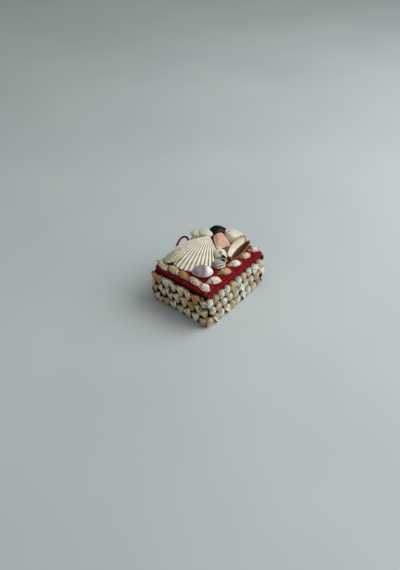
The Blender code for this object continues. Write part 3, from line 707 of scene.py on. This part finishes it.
# %% The cord arch
LOOP_MIDDLE, LOOP_SPREAD, LOOP_RISE, LOOP_REACH, LOOP_LEAN, LOOP_THICK = -1.4, 16.0, 8.2, 3.8, 2.4, 1.9
TWIST_LENGTH = 3.4
turn = np.linspace(0, np.pi, 90)
rise = np.sin(turn)
line = joined(
    LOOP_MIDDLE - LOOP_SPREAD / 2 * np.cos(turn) * (1 + 0.15 * rise) + LOOP_LEAN * rise,
    WALL_Y + 0.3 + LOOP_THICK / 2 + (LOOP_REACH - LOOP_THICK) * rise**2,
    (LID_FOOT + LID_TOP) / 2 + LOOP_RISE * rise,
)
tangent = np.gradient(line, axis=0)
tangent /= np.linalg.norm(tangent, axis=1, keepdims=True)
side = np.cross(tangent, [0.0, 1.0, 0.0])
side /= np.linalg.norm(side, axis=1, keepdims=True)
up = np.cross(side, tangent)
way = np.concatenate([[0], np.cumsum(np.linalg.norm(np.diff(line, axis=0), axis=1))])
phi = np.arange(20) / 20 * 2 * np.pi
twist = way[:, None] / TWIST_LENGTH * 2 * np.pi
lobes = LOOP_THICK / 2 * (0.86 + 0.14 * np.abs(np.cos(phi - twist)))
grid = (line[:, None, :] + (lobes * np.cos(phi))[..., None] * side[:, None, :]
        + (lobes * np.sin(phi))[..., None] * up[:, None, :])
cord = Surface(grid, tuple(line[0]), tuple(line[-1]))
cord_finish = velvet("loop cord", "3e050c", "741019", sheen=0.2, patch=1.2)
make_piece("loop_of_cord", [cord], cord_finish, "lid", ["pull_loop"])

# %% [markdown]
# ## Finishes for shells
#
# A small snail shell has a pale ground, brown mottles that follow its coils, painted shade in the grooves
# between its whorls, and a mouth with a pale lip, darkened deeper in partly by its own colour and partly by
# painted shade. One function writes all of that from a few colours. Each shell's own ground colour is stored
# on its mesh, so one material serves a whole wall.

# %% Snail finish
def snail_finish(name, mottle="6f5238", groove="3a2c20", lip="f4efe2", hole="6b543e", strength=0.8,
                 flames=0.0, bands=0.0, rough=0.38, patch=1.7, crease_shade=0.7, at=0.815):
    """The finish of a coiled shell.

    Its own tint, brown flames across the whorls, thin bands along them, painted shade in the crease where each
    whorl meets the one before it (at that share of the way round), pale patches of wear, a darkening low on
    the walls that is dirt and painted shade in the gaps between shells, a pale lip, and a mouth in the hole
    colour deeper in, which is partly the mouth's own colour and partly painted shade.
    """
    skin = Finish(name, roughness=rough, coat=0.15)
    around, _ = skin.uv()
    wound = skin.attribute("wound")
    crest = around.fold(0.5)
    patches = skin.noise(patch, detail=4.0, rough=0.65)
    fine = skin.noise(0.5, detail=3.0)
    spots = patches * 0.80 + fine * 0.30
    if flames:
        spots = spots + wound.waves(flames, patches * 9.0) * 0.11
    colour = skin.times(spots.step(0.52, 0.70) * strength, skin.attribute("tint", "Color"), mottle)
    if bands:
        band = crest.waves(bands, fine * 2.0).step(0.2, 0.9)
        colour = skin.times(band * patches.step(0.36, 0.56) * strength, colour, mottle)
    colour = skin.over(skin.noise(2.2, detail=2.0).step(0.50, 0.70) * 0.3, colour, lip)
    # Painted shade in the crease where each whorl meets the one before it.
    suture_shade = around.step(0.4, 0.5) * (1 - (around + fine * 0.04).step(at, at + 0.07))
    colour = skin.times(suture_shade * crease_shade, colour, groove)
    # Darker low on the wall shells, near the wall and in the gaps between them: dirt and painted shade.
    colour = skin.times(skin.attribute("grime").step(0.35, 0.95) * 0.8, colour, "4a3622")
    colour = skin.over(skin.attribute("lip").step(0.3, 0.9) * 0.85, colour, lip)
    # Deeper in the mouth the colour turns to the hole colour: partly the mouth's own colour, partly painted
    # shade.
    colour = skin.over(skin.attribute("hole").step(0.2, 0.8), colour, hole)
    relief = fine * 0.5 + wound.waves(30, fine * 3.0) * 0.25 + crest.waves(14) * 0.35
    skin.shade(colour, relief, 0.16, 0.7, roughness=patches * 0.25 + (rough - 0.1))
    return skin


print("snail finish ready")

# %% Valve finish
def valve_finish(name, light, dark, edge, lines, strength, rough=0.38, coat=0.1, warm=None, age=False):
    """The finish of a smooth valve: growth lines round the beak, soft patches, and the rim's own colour.

    The lines follow the map from beak to rim, or else the age stored on the mesh.
    """
    skin = Finish(name, roughness=rough, coat=coat)
    _, along = skin.uv()
    grown = skin.attribute("age") if age else along
    patches = skin.noise(3.2, detail=4.0, rough=0.6)
    fine = skin.noise(0.5, detail=2.0)
    ring = grown.waves(lines, patches * 3.0 + fine) * 0.5 + 0.5
    colour = skin.over(ring.step(0.45, 0.95) * strength, light, dark)
    colour = skin.over(patches.step(0.48, 0.70) * strength * 0.8, colour, warm or dark)
    colour = skin.over(along.step(0.86, 0.9) * 0.6, colour, edge)
    # Painted shade: the underside and the glue bed under the valve are dark brown.
    colour = skin.over(along.step(0.935, 0.95), colour, "3b3226")
    skin.shade(colour, ring * 0.7 + fine * 0.3, 0.12, 0.7)
    return skin


print("valve finish ready")

# %% [markdown]
# ## The scallop
#
# The largest shell: a ribbed cream fan with its beak towards the right and its rim over the left edge of the
# lid. Twenty ribs run from the beak, flat on top and narrow between, and each is paler than its groove.

# %% A ribbed fan
def fan_reach(length, width, angle):
    """Distance from a fan's beak to its rim.

    The rim is a disc with the beak outside it, joined by tangents: m cos a + sqrt(r^2 - (m sin a)^2), where
    r is the disc's radius and m its centre.
    """
    disc = width / 2
    middle = length - disc
    return middle * np.cos(angle) + np.sqrt(np.clip(disc**2 - (middle * np.sin(angle)) ** 2, 0, None))


def fan(length, width, depth, foot, ribs, rib, wall, tooth, rows, cols):
    """A fan-shaped valve on its bed.

    Each row is a closed loop in the upright plane at one angle from the beak: out over the top, round the
    rim and back underneath. Across the fan t runs from -1 to 1. With w = cos(pi ribs t), the grooves are
    rib sqrt(s) (1 - w) deep, flat-topped where w is above 0.15, and the rim moves out by a share tooth * w.
    """
    limit = math.asin((width / 2) / (length - width / 2))
    turn = np.linspace(-1, 1, cols)
    angle = turn * limit * 0.999
    reach = fan_reach(length, width, angle)
    side = np.clip(np.cos(turn * np.pi / 2), 0, 1) ** 0.55
    wave = np.cos(np.pi * ribs * turn)
    flat = np.clip(1 - 2.2 * np.clip(0.15 - wave, 0, None) ** 1.2, -1, 1)
    top = np.linspace(0.02, 1.0, rows) ** 0.9
    under = np.array([1.0, 0.94, 0.85, BED, BED * 0.97, 0.4, 0.05])
    drop = np.array([-0.7 * wall, -0.7 * wall, -0.6 * wall, -0.6 * wall, -foot, -foot, -0.8 * wall])
    share = np.concatenate([top, under])
    upper = depth * swell(top)[None, :] * side[:, None] + rib * (flat[:, None] - 1) * np.sqrt(top)[None, :]
    deep = np.clip(3 * side - 1.2, 0.0, 1.0)[:, None]
    lower = np.where(drop < -wall, drop * deep - wall * (1 - deep), drop)
    lift = np.concatenate([upper, lower], axis=1)
    ray = share[None, :] * (reach * (1 + tooth * wave))[:, None]
    grid = joined(ray * np.cos(angle)[:, None], ray * np.sin(angle)[:, None], lift)
    ends = [tuple(grid[0].mean(axis=0)), tuple(grid[-1].mean(axis=0))]
    valve = Surface(grid, *ends, along=(turn + 1) / 2)
    grown = np.concatenate([top, [1.02, 1.04, 1.06, 1.1, 1.15, 1.2, 1.2]])
    return valve.value("grown", grown, 1.2, 1.2).value("rib", flat[:, None])


scallop_form = fan(43.5, 39.6, 8.0, 4.0, ribs=20, rib=0.5, wall=1.2, tooth=0.008, rows=34, cols=260)
print("the scallop has", len(scallop_form.points), "points")

# %% The scallop
def scallop_skin():
    """Cream ribs, olive-brown grooves and a few faint yellow growth bands."""
    skin = Finish("scallop", roughness=0.5, coat=0.04)
    grown = skin.attribute("grown")
    fine = skin.noise(0.7, detail=3.0)
    patches = skin.noise(7.0, detail=3.0)
    band = grown.waves(4.5, patches * 2.5) * 0.5 + 0.5
    cream = skin.over(band.step(0.4, 0.9) * 0.55, "f8f5ea", "ebe3c2")
    grooves = 1 - (skin.attribute("rib") + fine * 0.5 - 0.25).step(-0.6, 0.85)
    colour = skin.times(grooves * 0.85, cream, "9a8d68")
    colour = skin.over(patches.step(0.45, 0.7) * 0.25, colour, "d8d2b4")
    # Painted shade: the underside and the glue bed under the scallop are dark brown.
    colour = skin.over(grown.step(1.03, 1.06), colour, "3b3226")
    skin.shade(colour, fine * 0.5 + band * 0.4, 0.12, 0.5)
    return skin


on_lid("scallop_shell", scallop_form, scallop_skin(), "scallop", "scallop", (0.355, 0.315), 184, rise=3.4,
       pitch=5.0)

# %% [markdown]
# ## Clams, the mussel and the salmon-coloured valve
#
# These are smooth valves. Growth lines are their only relief, so the forms stay plain and the lines are in
# the finish. The mussel is nearly black with a violet gleam, and the salmon valve has a pale cut edge. The
# grey-cream clam lies with its beak aside, so its lines follow an age stored on its mesh.

# %% Clams
ivory = valve_finish("ivory clam", "dcdac8", "b3b198", "ece9dc", lines=9.0, strength=0.7, warm="c8c5ac",
                     coat=0.05)
clams = {
    "far_clam": ("white_clam_far", clam(13, 11, 2.9, 3.0, ripple=0.05), (0.29, 0.83), 20, 2.8, -12),
    "near_clam": ("white_clam_near", clam(14, 12, 3.0, 3.0, ripple=0.05), (0.37, 0.62), 15, 3.2, -12),
    "large_clam_shell": ("large_clam", clam(20, 17, 7.0, 4.0, ripple=0.06), (0.66, 0.02), -40, 4.2, 0),
}
for name, (node, form, spot, heading, rise, pitch) in clams.items():
    on_lid(name, form, ivory, node, "white_clam", spot, heading, rise=rise, pitch=pitch)

grey_clam = valve_finish("grey-cream clam", "cbc5ac", "968f76", "d8d2bd", lines=11.0, strength=0.75,
                         rough=0.5, coat=0.0, age=True)
form = clam(24, 14.5, 5.0, 3.0, rows=36, cols=110)
age = np.hypot((form.points[:, 1] + 11.5) / 24, (form.points[:, 0] - 4.0) / 26)
form.points[:, 2] += 0.07 * np.cos(2 * np.pi * 11 * age)
form.values["age"] = age
on_lid("pale_clam_shell", form, grey_clam, "pale_clam", "pale_clam", (-0.57, 0.46), 93, rise=4.0, pitch=12)

# %% The mussel
def mussel_skin():
    """Blue-black with violet and grey lines along the growth, and a wet gleam."""
    skin = Finish("mussel", roughness=0.28, specular=0.12)
    _, along = skin.uv()
    patches = skin.noise(4.0, detail=3.0, stretch=(1.0, 1.0, 0.4))
    ring = along.waves(9, patches * 6.0) * 0.5 + 0.5
    colour = skin.over(ring.step(0.4, 1.0) * 0.6, "05050a", "161628")
    colour = skin.over(patches.step(0.55, 0.75) * 0.5, colour, "2e2b4c")
    skin.shade(colour, ring, 0.08, 0.5)
    return skin


form = clam(19.6, 11.0, 4.0, 4.0, rows=32, cols=96)
on_lid("mussel_shell", form, mussel_skin(), "mussel_valve", "mussel", (0.765, 0.585), -118, rise=4.5)

# %% The salmon-coloured valve and the tan wedge
def salmon_skin():
    """Salmon pink, paler towards its rim, with faint growth bands and a white cut edge."""
    skin = Finish("salmon valve", roughness=0.42, coat=0.08)
    _, along = skin.uv()
    patches = skin.noise(3.0, detail=3.0)
    band = along.waves(7, patches * 3.0) * 0.5 + 0.5
    colour = skin.over(band * 0.5, "dfae90", "cf9876")
    colour = skin.over(patches.step(0.45, 0.7) * 0.45, colour, "e8c4a8")
    colour = skin.over(along.step(0.80, 0.86) * 0.9, colour, "f3e6d6")
    # Painted shade: the underside and the glue bed under the valve are dark brown.
    colour = skin.over(along.step(0.925, 0.94), colour, "5a3a28")
    skin.shade(colour, band + patches, 0.08, 0.5)
    return skin


form = clam(15.0, 13.2, 3.6, 4.0, rows=26, cols=96, top=0.76, wall=1.3)
on_lid("salmon_shell", form, salmon_skin(), "salmon_valve", "salmon", (0.50, 0.15), -122, rise=6.6, pitch=12)
wedge_finish = valve_finish("tan wedge", "9a6a44", "6e4529", "b98c66", lines=8.0, strength=0.6)
form = clam(8.5, 7.0, 2.4, 3.0, rows=16, cols=48)
on_lid("tan_wedge_shell", form, wedge_finish, "tan_wedge", "horn", (0.36, -0.28), -110, rise=2.1, pitch=14)

# %% [markdown]
# ## The gaping pair
#
# Two halves of one long shell stand open in a V, hollow sides up: the far half shows a cream inside, and the
# near half's inside is painted dark brown as shade. Both have a thin orange-brown rim. Each is a bowl, and the
# finish tells inside from outside by how far along the skin a point lies, because the skin runs over the
# outside first and then over the inside.

# %% The gaping pair
def bowl(length, width, depth, wall, rows=12, cols=64):
    """An open valve, hollow side up: x and y are shares of the rim ellipse, z = -depth (1 - share^2)."""
    angle = np.linspace(0, 2 * np.pi, cols, endpoint=False)
    out = np.linspace(0.06, 1.0, rows)
    share = np.concatenate([out, out[::-1]])
    inner = np.concatenate([np.zeros(rows), np.full(rows, wall)])
    half_x = length / 2 - inner
    half_y = width / 2 - inner
    drop = np.concatenate([-depth * (1 - out**2.2), -(depth - wall) * (1 - out[::-1] ** 2.2) + wall * 0.1])
    x = (share * half_x)[:, None] * np.cos(angle)
    y = (share * half_y)[:, None] * np.sin(angle)
    return Surface(joined(x, y, drop[:, None]), (0, 0, -depth), (0, 0, wall * 1.1 - depth))


def horn_skin(inside_light, inside_dark):
    """Brown outside with growth lines, a thin orange-brown rim, and a smooth inside."""
    skin = Finish("horn " + inside_light, roughness=0.5, specular=0.3)
    _, along = skin.uv()
    patches = skin.noise(3.0, detail=4.0)
    ring = along.waves(22, patches * 3.0) * 0.5 + 0.5
    brown = skin.over(ring * 0.5, "9c6b46", "70452b")
    brown = skin.over(patches.step(0.45, 0.7) * 0.5, brown, "b48a66")
    inside = skin.over(patches.step(0.35, 0.7) * 0.8, inside_light, inside_dark)
    colour = skin.over(along.step(0.50, 0.53), brown, inside)
    rim = along.step(0.44, 0.47) * (1 - along.step(0.535, 0.56))
    colour = skin.over(rim, colour, "a9703f")
    skin.shade(colour, ring * 0.6 + patches * 0.3, 0.08, 0.5)
    return skin


GAPE, GAPE_WALL = 28.0, 0.9
far_half = bowl(GAPE, GAPE * 0.41, GAPE * 0.133, GAPE_WALL)
on_lid("gaping_far_half", far_half, horn_skin("f0eadb", "dccfb0"), "gaping_valve_far", "horn",
       (0.49, -0.55), 4, rise=5.2, pitch=-9, roll=60)
near_half = bowl(GAPE, GAPE * 0.35, GAPE * 0.11, GAPE_WALL)
# The near half's inside is dark brown: painted shade, where the far half's is cream.
on_lid("gaping_near_half", near_half, horn_skin("3f2b10", "120b04"), "gaping_valve_near", "horn",
       (0.49, -0.70), 4, rise=4.0, pitch=-8, roll=-20)

# %% [markdown]
# ## The cowrie
#
# A cowrie has hidden its coils: what shows is a glossy egg. Its back is a lilac oval that fades into a cream
# border, and one end is white. The finish finds the back by the angle round the egg and the place along it.

# %% The cowrie
def egg(length, girth, rows=40, cols=48):
    """An egg along +X: radius = girth / 2 * sin(pi s^1.06)^0.52 at share s along its length."""
    t = np.linspace(0, 1, rows + 2)[1:-1]
    s = 0.5 - 0.5 * np.cos(np.pi * t)
    radius = (girth / 2 * np.sin(np.pi * s**1.06) ** 0.52)[:, None]
    phi = np.arange(cols) / cols * 2 * np.pi
    grid = joined((s - 0.5)[:, None] * length, radius * np.cos(phi), radius * np.sin(phi))
    return Surface(grid, (-length / 2, 0, 0), (length / 2, 0, 0), along=s)


def cowrie_skin():
    """A lilac back with soft banding, a cream border and a white end, under a clear glaze."""
    skin = Finish("cowrie", roughness=0.34, coat=0.12)
    around, along = skin.uv()
    patches = skin.noise(5.0, detail=3.0)
    up = (around - 0.33) * 3.9
    out = (along - 0.38) * 2.5
    away = (up * up + out * out) ** 0.5 + patches * 0.5
    lilac = skin.over((patches - away * 0.4).step(0.05, 0.45), "86737c", "b4a2aa")
    cream = skin.over(along.step(0.5, 0.8), "cdc6b4", "efeee8")
    colour = skin.over(1 - away.step(0.70, 1.40), cream, lilac)
    skin.shade(colour, patches, 0.05, 0.3)
    return skin


COWRIE_LENGTH, COWRIE_GIRTH = 17.6, 12.2
form = bedded(egg(COWRIE_LENGTH, COWRIE_GIRTH), COWRIE_GIRTH / 2 * 0.30, share=0.35)
on_lid("cowrie_shell", form, cowrie_skin(), "cowrie", "cowrie", (-0.64, -0.455), -54, rise=0.8, roll=4)

# %% [markdown]
# ## The snails on the lid
#
# A round snail shows its coil from above, beside a ribbed grey whelk and a small speckled snail. They are the
# same form with other numbers.

# %% The snails on the lid
form = coiled(9.4, 11.2, grow=2.3, turns=3.6, mouth=10, body=0.44, hollow=0.44, lip=0.09, rows=30, cols=30)
form.moved(turned(40, 56, 200), (1.4, -10.2, 43.0))
round_skin = snail_finish("round snail", mottle="8d8566", groove="39352a", strength=0.7, patch=3.0,
                          crease_shade=0.95, at=0.68)
make_piece("round_snail_shell", [pressed(form, 0.1)], round_skin, "lid", ["round_snail"], ["e9e3d0"])

form = coiled(15.5, 11.0, grow=1.6, turns=4.6, mouth=20, body=0.60, ribs=12, rib=0.13, rows=60, cols=26)
# The whelk's mouth is nearly black deep inside: painted shade.
whelk_skin = snail_finish("grey whelk", mottle="4b4644", groove="3a3533", lip="ece8e0", hole="1d1613",
                          flames=12.0)
on_lid("grey_whelk_shell", bedded(form, 1.3), whelk_skin, "grey_whelk", "snail", (-0.155, -0.58), -26,
       tints=["bdb6ae"], rise=-0.6)

form = coiled(9.0, 6.4, rows=22, cols=18)
speckled_skin = snail_finish("speckled snail", mottle="4a3c1e", groove="3a2f1c", strength=0.9, flames=7.0)
on_lid("speckled_snail_shell", bedded(form, 0.8), speckled_skin, "speckled_snail", "snail", (0.90, 0.12), -60,
       tints=["a8996a"], rise=5.2)

# %% [markdown]
# ## The shells round the rim of the lid
#
# A row of finely ribbed shells lies head to tail along each edge. Most are cream, some are tan, and thin
# bands follow their coils. The rows, spots and headings are those of the solids. Their girths are a little
# slimmer where the photograph shows more velvet between them, and each shell gets its own tint.

# %% The rim shells
RIM_LENGTH, RIM_GIRTH, RIM_INSET, RIM_SINK = 13.6, 8.0, 4.5, 0.9
edge_x, edge_y = 1 - RIM_INSET / WALL_X, 1 - RIM_INSET / WALL_Y
rim_skin = snail_finish("rim shells", mottle="94703f", groove="977d5a", lip="f6f2e8", hole="9c7d5c",
                        bands=6.0, rough=0.42, patch=2.0, crease_shade=0.9)
# Each row: its spots, its heading, its shares of the length and the girth, and its tints.
rim_rows = {
    "back": ([(u, -edge_y) for u in np.linspace(-0.64, 0.875, 5)], -25, 1.0, 0.86,
             ["efece0", "c9a26c", "f2efe6", "e0cfb0", "eadfcd"]),
    "left": ([(-edge_x, v) for v in np.linspace(0.82, -0.42, 4)], -99, 1.26, 0.80,
             ["d8cdb0", "cdb68a", "b3874c", "ddd0ae"]),
    "front": ([(u, edge_y) for u in np.linspace(0.62, -0.74, 5)], 170, 0.84, 0.84,
              ["e4dfcf", "ccb287", "e9e4d6", "dcd0b4", "d8cdb2"]),
    "right": ([(edge_x, v) for v in np.linspace(-0.48, 0.66, 4)], 78, 0.88, 0.88,
              ["8f887a", "ded6c4", "c8ae84", "e6e1d2"]),
}


def rim_shell(longer, fuller, turn):
    """One ribbed shell, pressed flat underneath; turn rolls it so that the mouths differ."""
    length, girth = RIM_LENGTH * longer, RIM_GIRTH * fuller
    form = coiled(length * 1.02, girth * 1.06, grow=1.40, turns=6.0, mouth=200 + turn, body=0.66, hollow=0.50,
                  ribs=14, rib=0.03, lip=0.03, rows=44, cols=18)
    return bedded(form, girth / 2 * 0.28, 0.3)


for row, (spots, heading, longer, fuller, tints) in rim_rows.items():
    forms = [lay(rim_shell(longer, fuller, 40 * k), spot, heading + 4 * math.sin(7 * k), rise=-RIM_SINK)
             for k, spot in enumerate(spots)]
    nodes = [f"rim_shell_{row}_{k + 1}" for k in range(len(spots))]
    make_piece(f"rim_row_{row}", forms, rim_skin, "lid", nodes, tints)
on_lid("rim_corner", rim_shell(0.82, 0.85, 0), rim_skin, "rim_shell_corner", "rim_shell", (-0.90, -0.80), -70,
       tints=["efeadb"], rise=-RIM_SINK)

# %% [markdown]
# ## The courses on the walls
#
# Three courses of small shells cover each wall, laid like tiles: each course overlaps the one under it. On
# the long walls the shells slant with their mouths down to the right, on the short walls they stand tip
# down. The numbers that place them are drawn in the same order as for the solids, so each detailed shell
# lies where its solid is.

# %% How a wall shell stands
COURSES, OPEN_PLAY, FLOOR_CLEAR = 3, 0.9, 0.4
COURSE_SHELL, BOTTOM_SHARE, WALL_TILT, CORNER_SINK = 14.0, 0.86, 6.0, 1.6
STAND = 0.36
CLOTH_STAND = STAND + 1.0
# How close the shells stand on each kind of wall, their girth and lean, the share of them that shows its
# mouth, and the form of the coil.
LONG = {"pitch": 7.5, "girth": 8.8, "lean": 32.0, "facing": 0.45, "body": 0.65, "hollow": 0.48, "full": 0.8}
SHORT = {"pitch": 8.0, "girth": 9.0, "lean": 6.0, "facing": 0.12, "body": 0.78, "hollow": 0.57, "full": 0.7}
X_WAY, Y_WAY, UP = np.array([1.0, 0, 0]), np.array([0, 1.0, 0]), np.array([0, 0, 1.0])
# Each side: outwards, to the right, how far out its face and its shells' backs are, its kind and its half.
SIDES = {
    "left": (-X_WAY, -Y_WAY, WALL_X, STAND, SHORT, WALL_Y),
    "right": (X_WAY, Y_WAY, WALL_X, STAND, SHORT, WALL_Y),
    "back": (-Y_WAY, X_WAY, WALL_Y, CLOTH_STAND, LONG, WALL_X),
    "front": (Y_WAY, -X_WAY, WALL_Y, STAND, LONG, WALL_X),
}


def wall_shell(side, middle, height, level, corner, draw, chance):
    """One detailed shell against a wall: its axis leans, tilts off the wall, and its mouth turns at random.

    draw repeats the numbers that placed the solids, and chance gives what only the detail has.
    """
    wall, along_wall, face, stand, kind, _ = side
    out, right = wall, along_wall
    lean = math.radians(kind["lean"] + draw.uniform(-4, 4))
    tilt = math.radians(WALL_TILT)
    girth = kind["girth"] * draw.uniform(0.97, 1.0)
    length = COURSE_SHELL * draw.uniform(0.94, 1.0)
    if level == COURSES - 1:
        length *= BOTTOM_SHARE
    if corner:
        right, out = right * corner[0] - out * corner[1], out * corner[0] + right * corner[1]
    down = -math.cos(lean) * UP + math.sin(lean) * right
    proud = math.cos(tilt) * down + math.sin(tilt) * out
    facing = math.cos(tilt) * out - math.sin(tilt) * down
    axis = proud if kind is LONG else -proud
    wide = girth * chance.uniform(0.98, 1.10)
    shows_mouth = chance.random() < kind["facing"]
    mouth = chance.uniform(-25, 45) if shows_mouth else chance.uniform(90, 270)
    form = coiled(length * chance.uniform(0.96, 1.04), wide, grow=chance.uniform(1.38, 1.52), turns=4.6,
                  mouth=mouth, body=kind["body"] + chance.uniform(-0.02, 0.04),
                  hollow=kind["hollow"] + chance.uniform(0.0, 0.05), lip=chance.uniform(0.03, 0.06),
                  full=kind["full"], rows=13, cols=14)
    form.moved(turned(chance.uniform(-9, 9)), (0, 0, 0))
    bedded(form, 0.0, 0.3)
    top = girth / 2 * 1.08
    form.points[:, 2] *= (top - stand) / form.points[:, 2].max()
    base = (face + stand) * wall + middle * along_wall + height * UP
    form.moved(joined(axis, np.cross(facing, axis), facing), base)
    off_wall = form.points @ wall - face
    form.points += np.maximum(stand - off_wall, 0.0)[:, None] * wall
    # Dirt and painted shade: 1 where the shell meets the wall, 0 at its top.
    form.values["grime"] = np.clip(1 - (off_wall - stand) / (top - stand), 0, 1)
    form.points[:, 2] = np.clip(form.points[:, 2], FLOOR_CLEAR, BODY_HEIGHT - OPEN_PLAY)
    return form


step_down = (BODY_HEIGHT - OPEN_PLAY - FLOOR_CLEAR) / COURSES
print("course height", round(step_down, 2), "mm")

# %% The twelve courses
LONG["skin"] = snail_finish("long wall shells", mottle="5a452e", groove="261d13", lip="f2e7ce", bands=8.0,
                            crease_shade=0.95)
# The short walls' shells are darker than the long walls': partly their own greenish-tan colour, partly painted
# shade, since the left wall stands in shade.
SHORT["skin"] = snail_finish("short wall shells", mottle="45331f", groove="140e08", lip="efe2c4",
                             strength=0.9, bands=5.0, crease_shade=1.0, at=0.83)
LONG["tints"] = ["f2eddf", "ebe3ce", "f7f3e9", "dfcda8", "d4a978", "efece3", "c4a08c", "f0e4c2", "e5dac0",
                 "dcbd8c"]
# Darker tints for the short walls: partly their own colour, partly painted shade.
SHORT["tints"] = ["e3d4b0", "d2be90", "ecdebc", "c9a46c", "c98a46", "e6dcc2", "b99e7c", "ecd89a", "d9caa6",
                  "c18f52"]
draw = np.random.default_rng(7)
chance = np.random.default_rng(21)
slant = math.sqrt(0.5)
for level, course in enumerate(["top", "middle", "bottom"]):
    height = FLOOR_CLEAR + step_down * (COURSES - level - 0.5)
    for name, side in SIDES.items():
        kind, half = side[4], side[5]
        room = 2 * half if kind is LONG else 2 * half - kind["pitch"]
        count = max(2, round(room / kind["pitch"]))
        gap = room / count
        stagger = gap * 0.25 * (1 if level % 2 else -1)
        spots = [((k + 0.5) * gap - room / 2 + stagger, None) for k in range(count)]
        if kind is SHORT:
            spots.insert(0, (-half + CORNER_SINK, (slant, -slant)))
            spots.append((half - CORNER_SINK, (slant, slant)))
        forms = [wall_shell(side, middle, height, level, corner, draw, chance) for middle, corner in spots]
        tints = [kind["tints"][chance.integers(len(kind["tints"]))] for _ in forms]
        make_piece(f"course_{course}_{name}", forms, kind["skin"], "box", [f"{course}_shells_{name}"],
                   tints)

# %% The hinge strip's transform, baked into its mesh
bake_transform(hinge_strip)
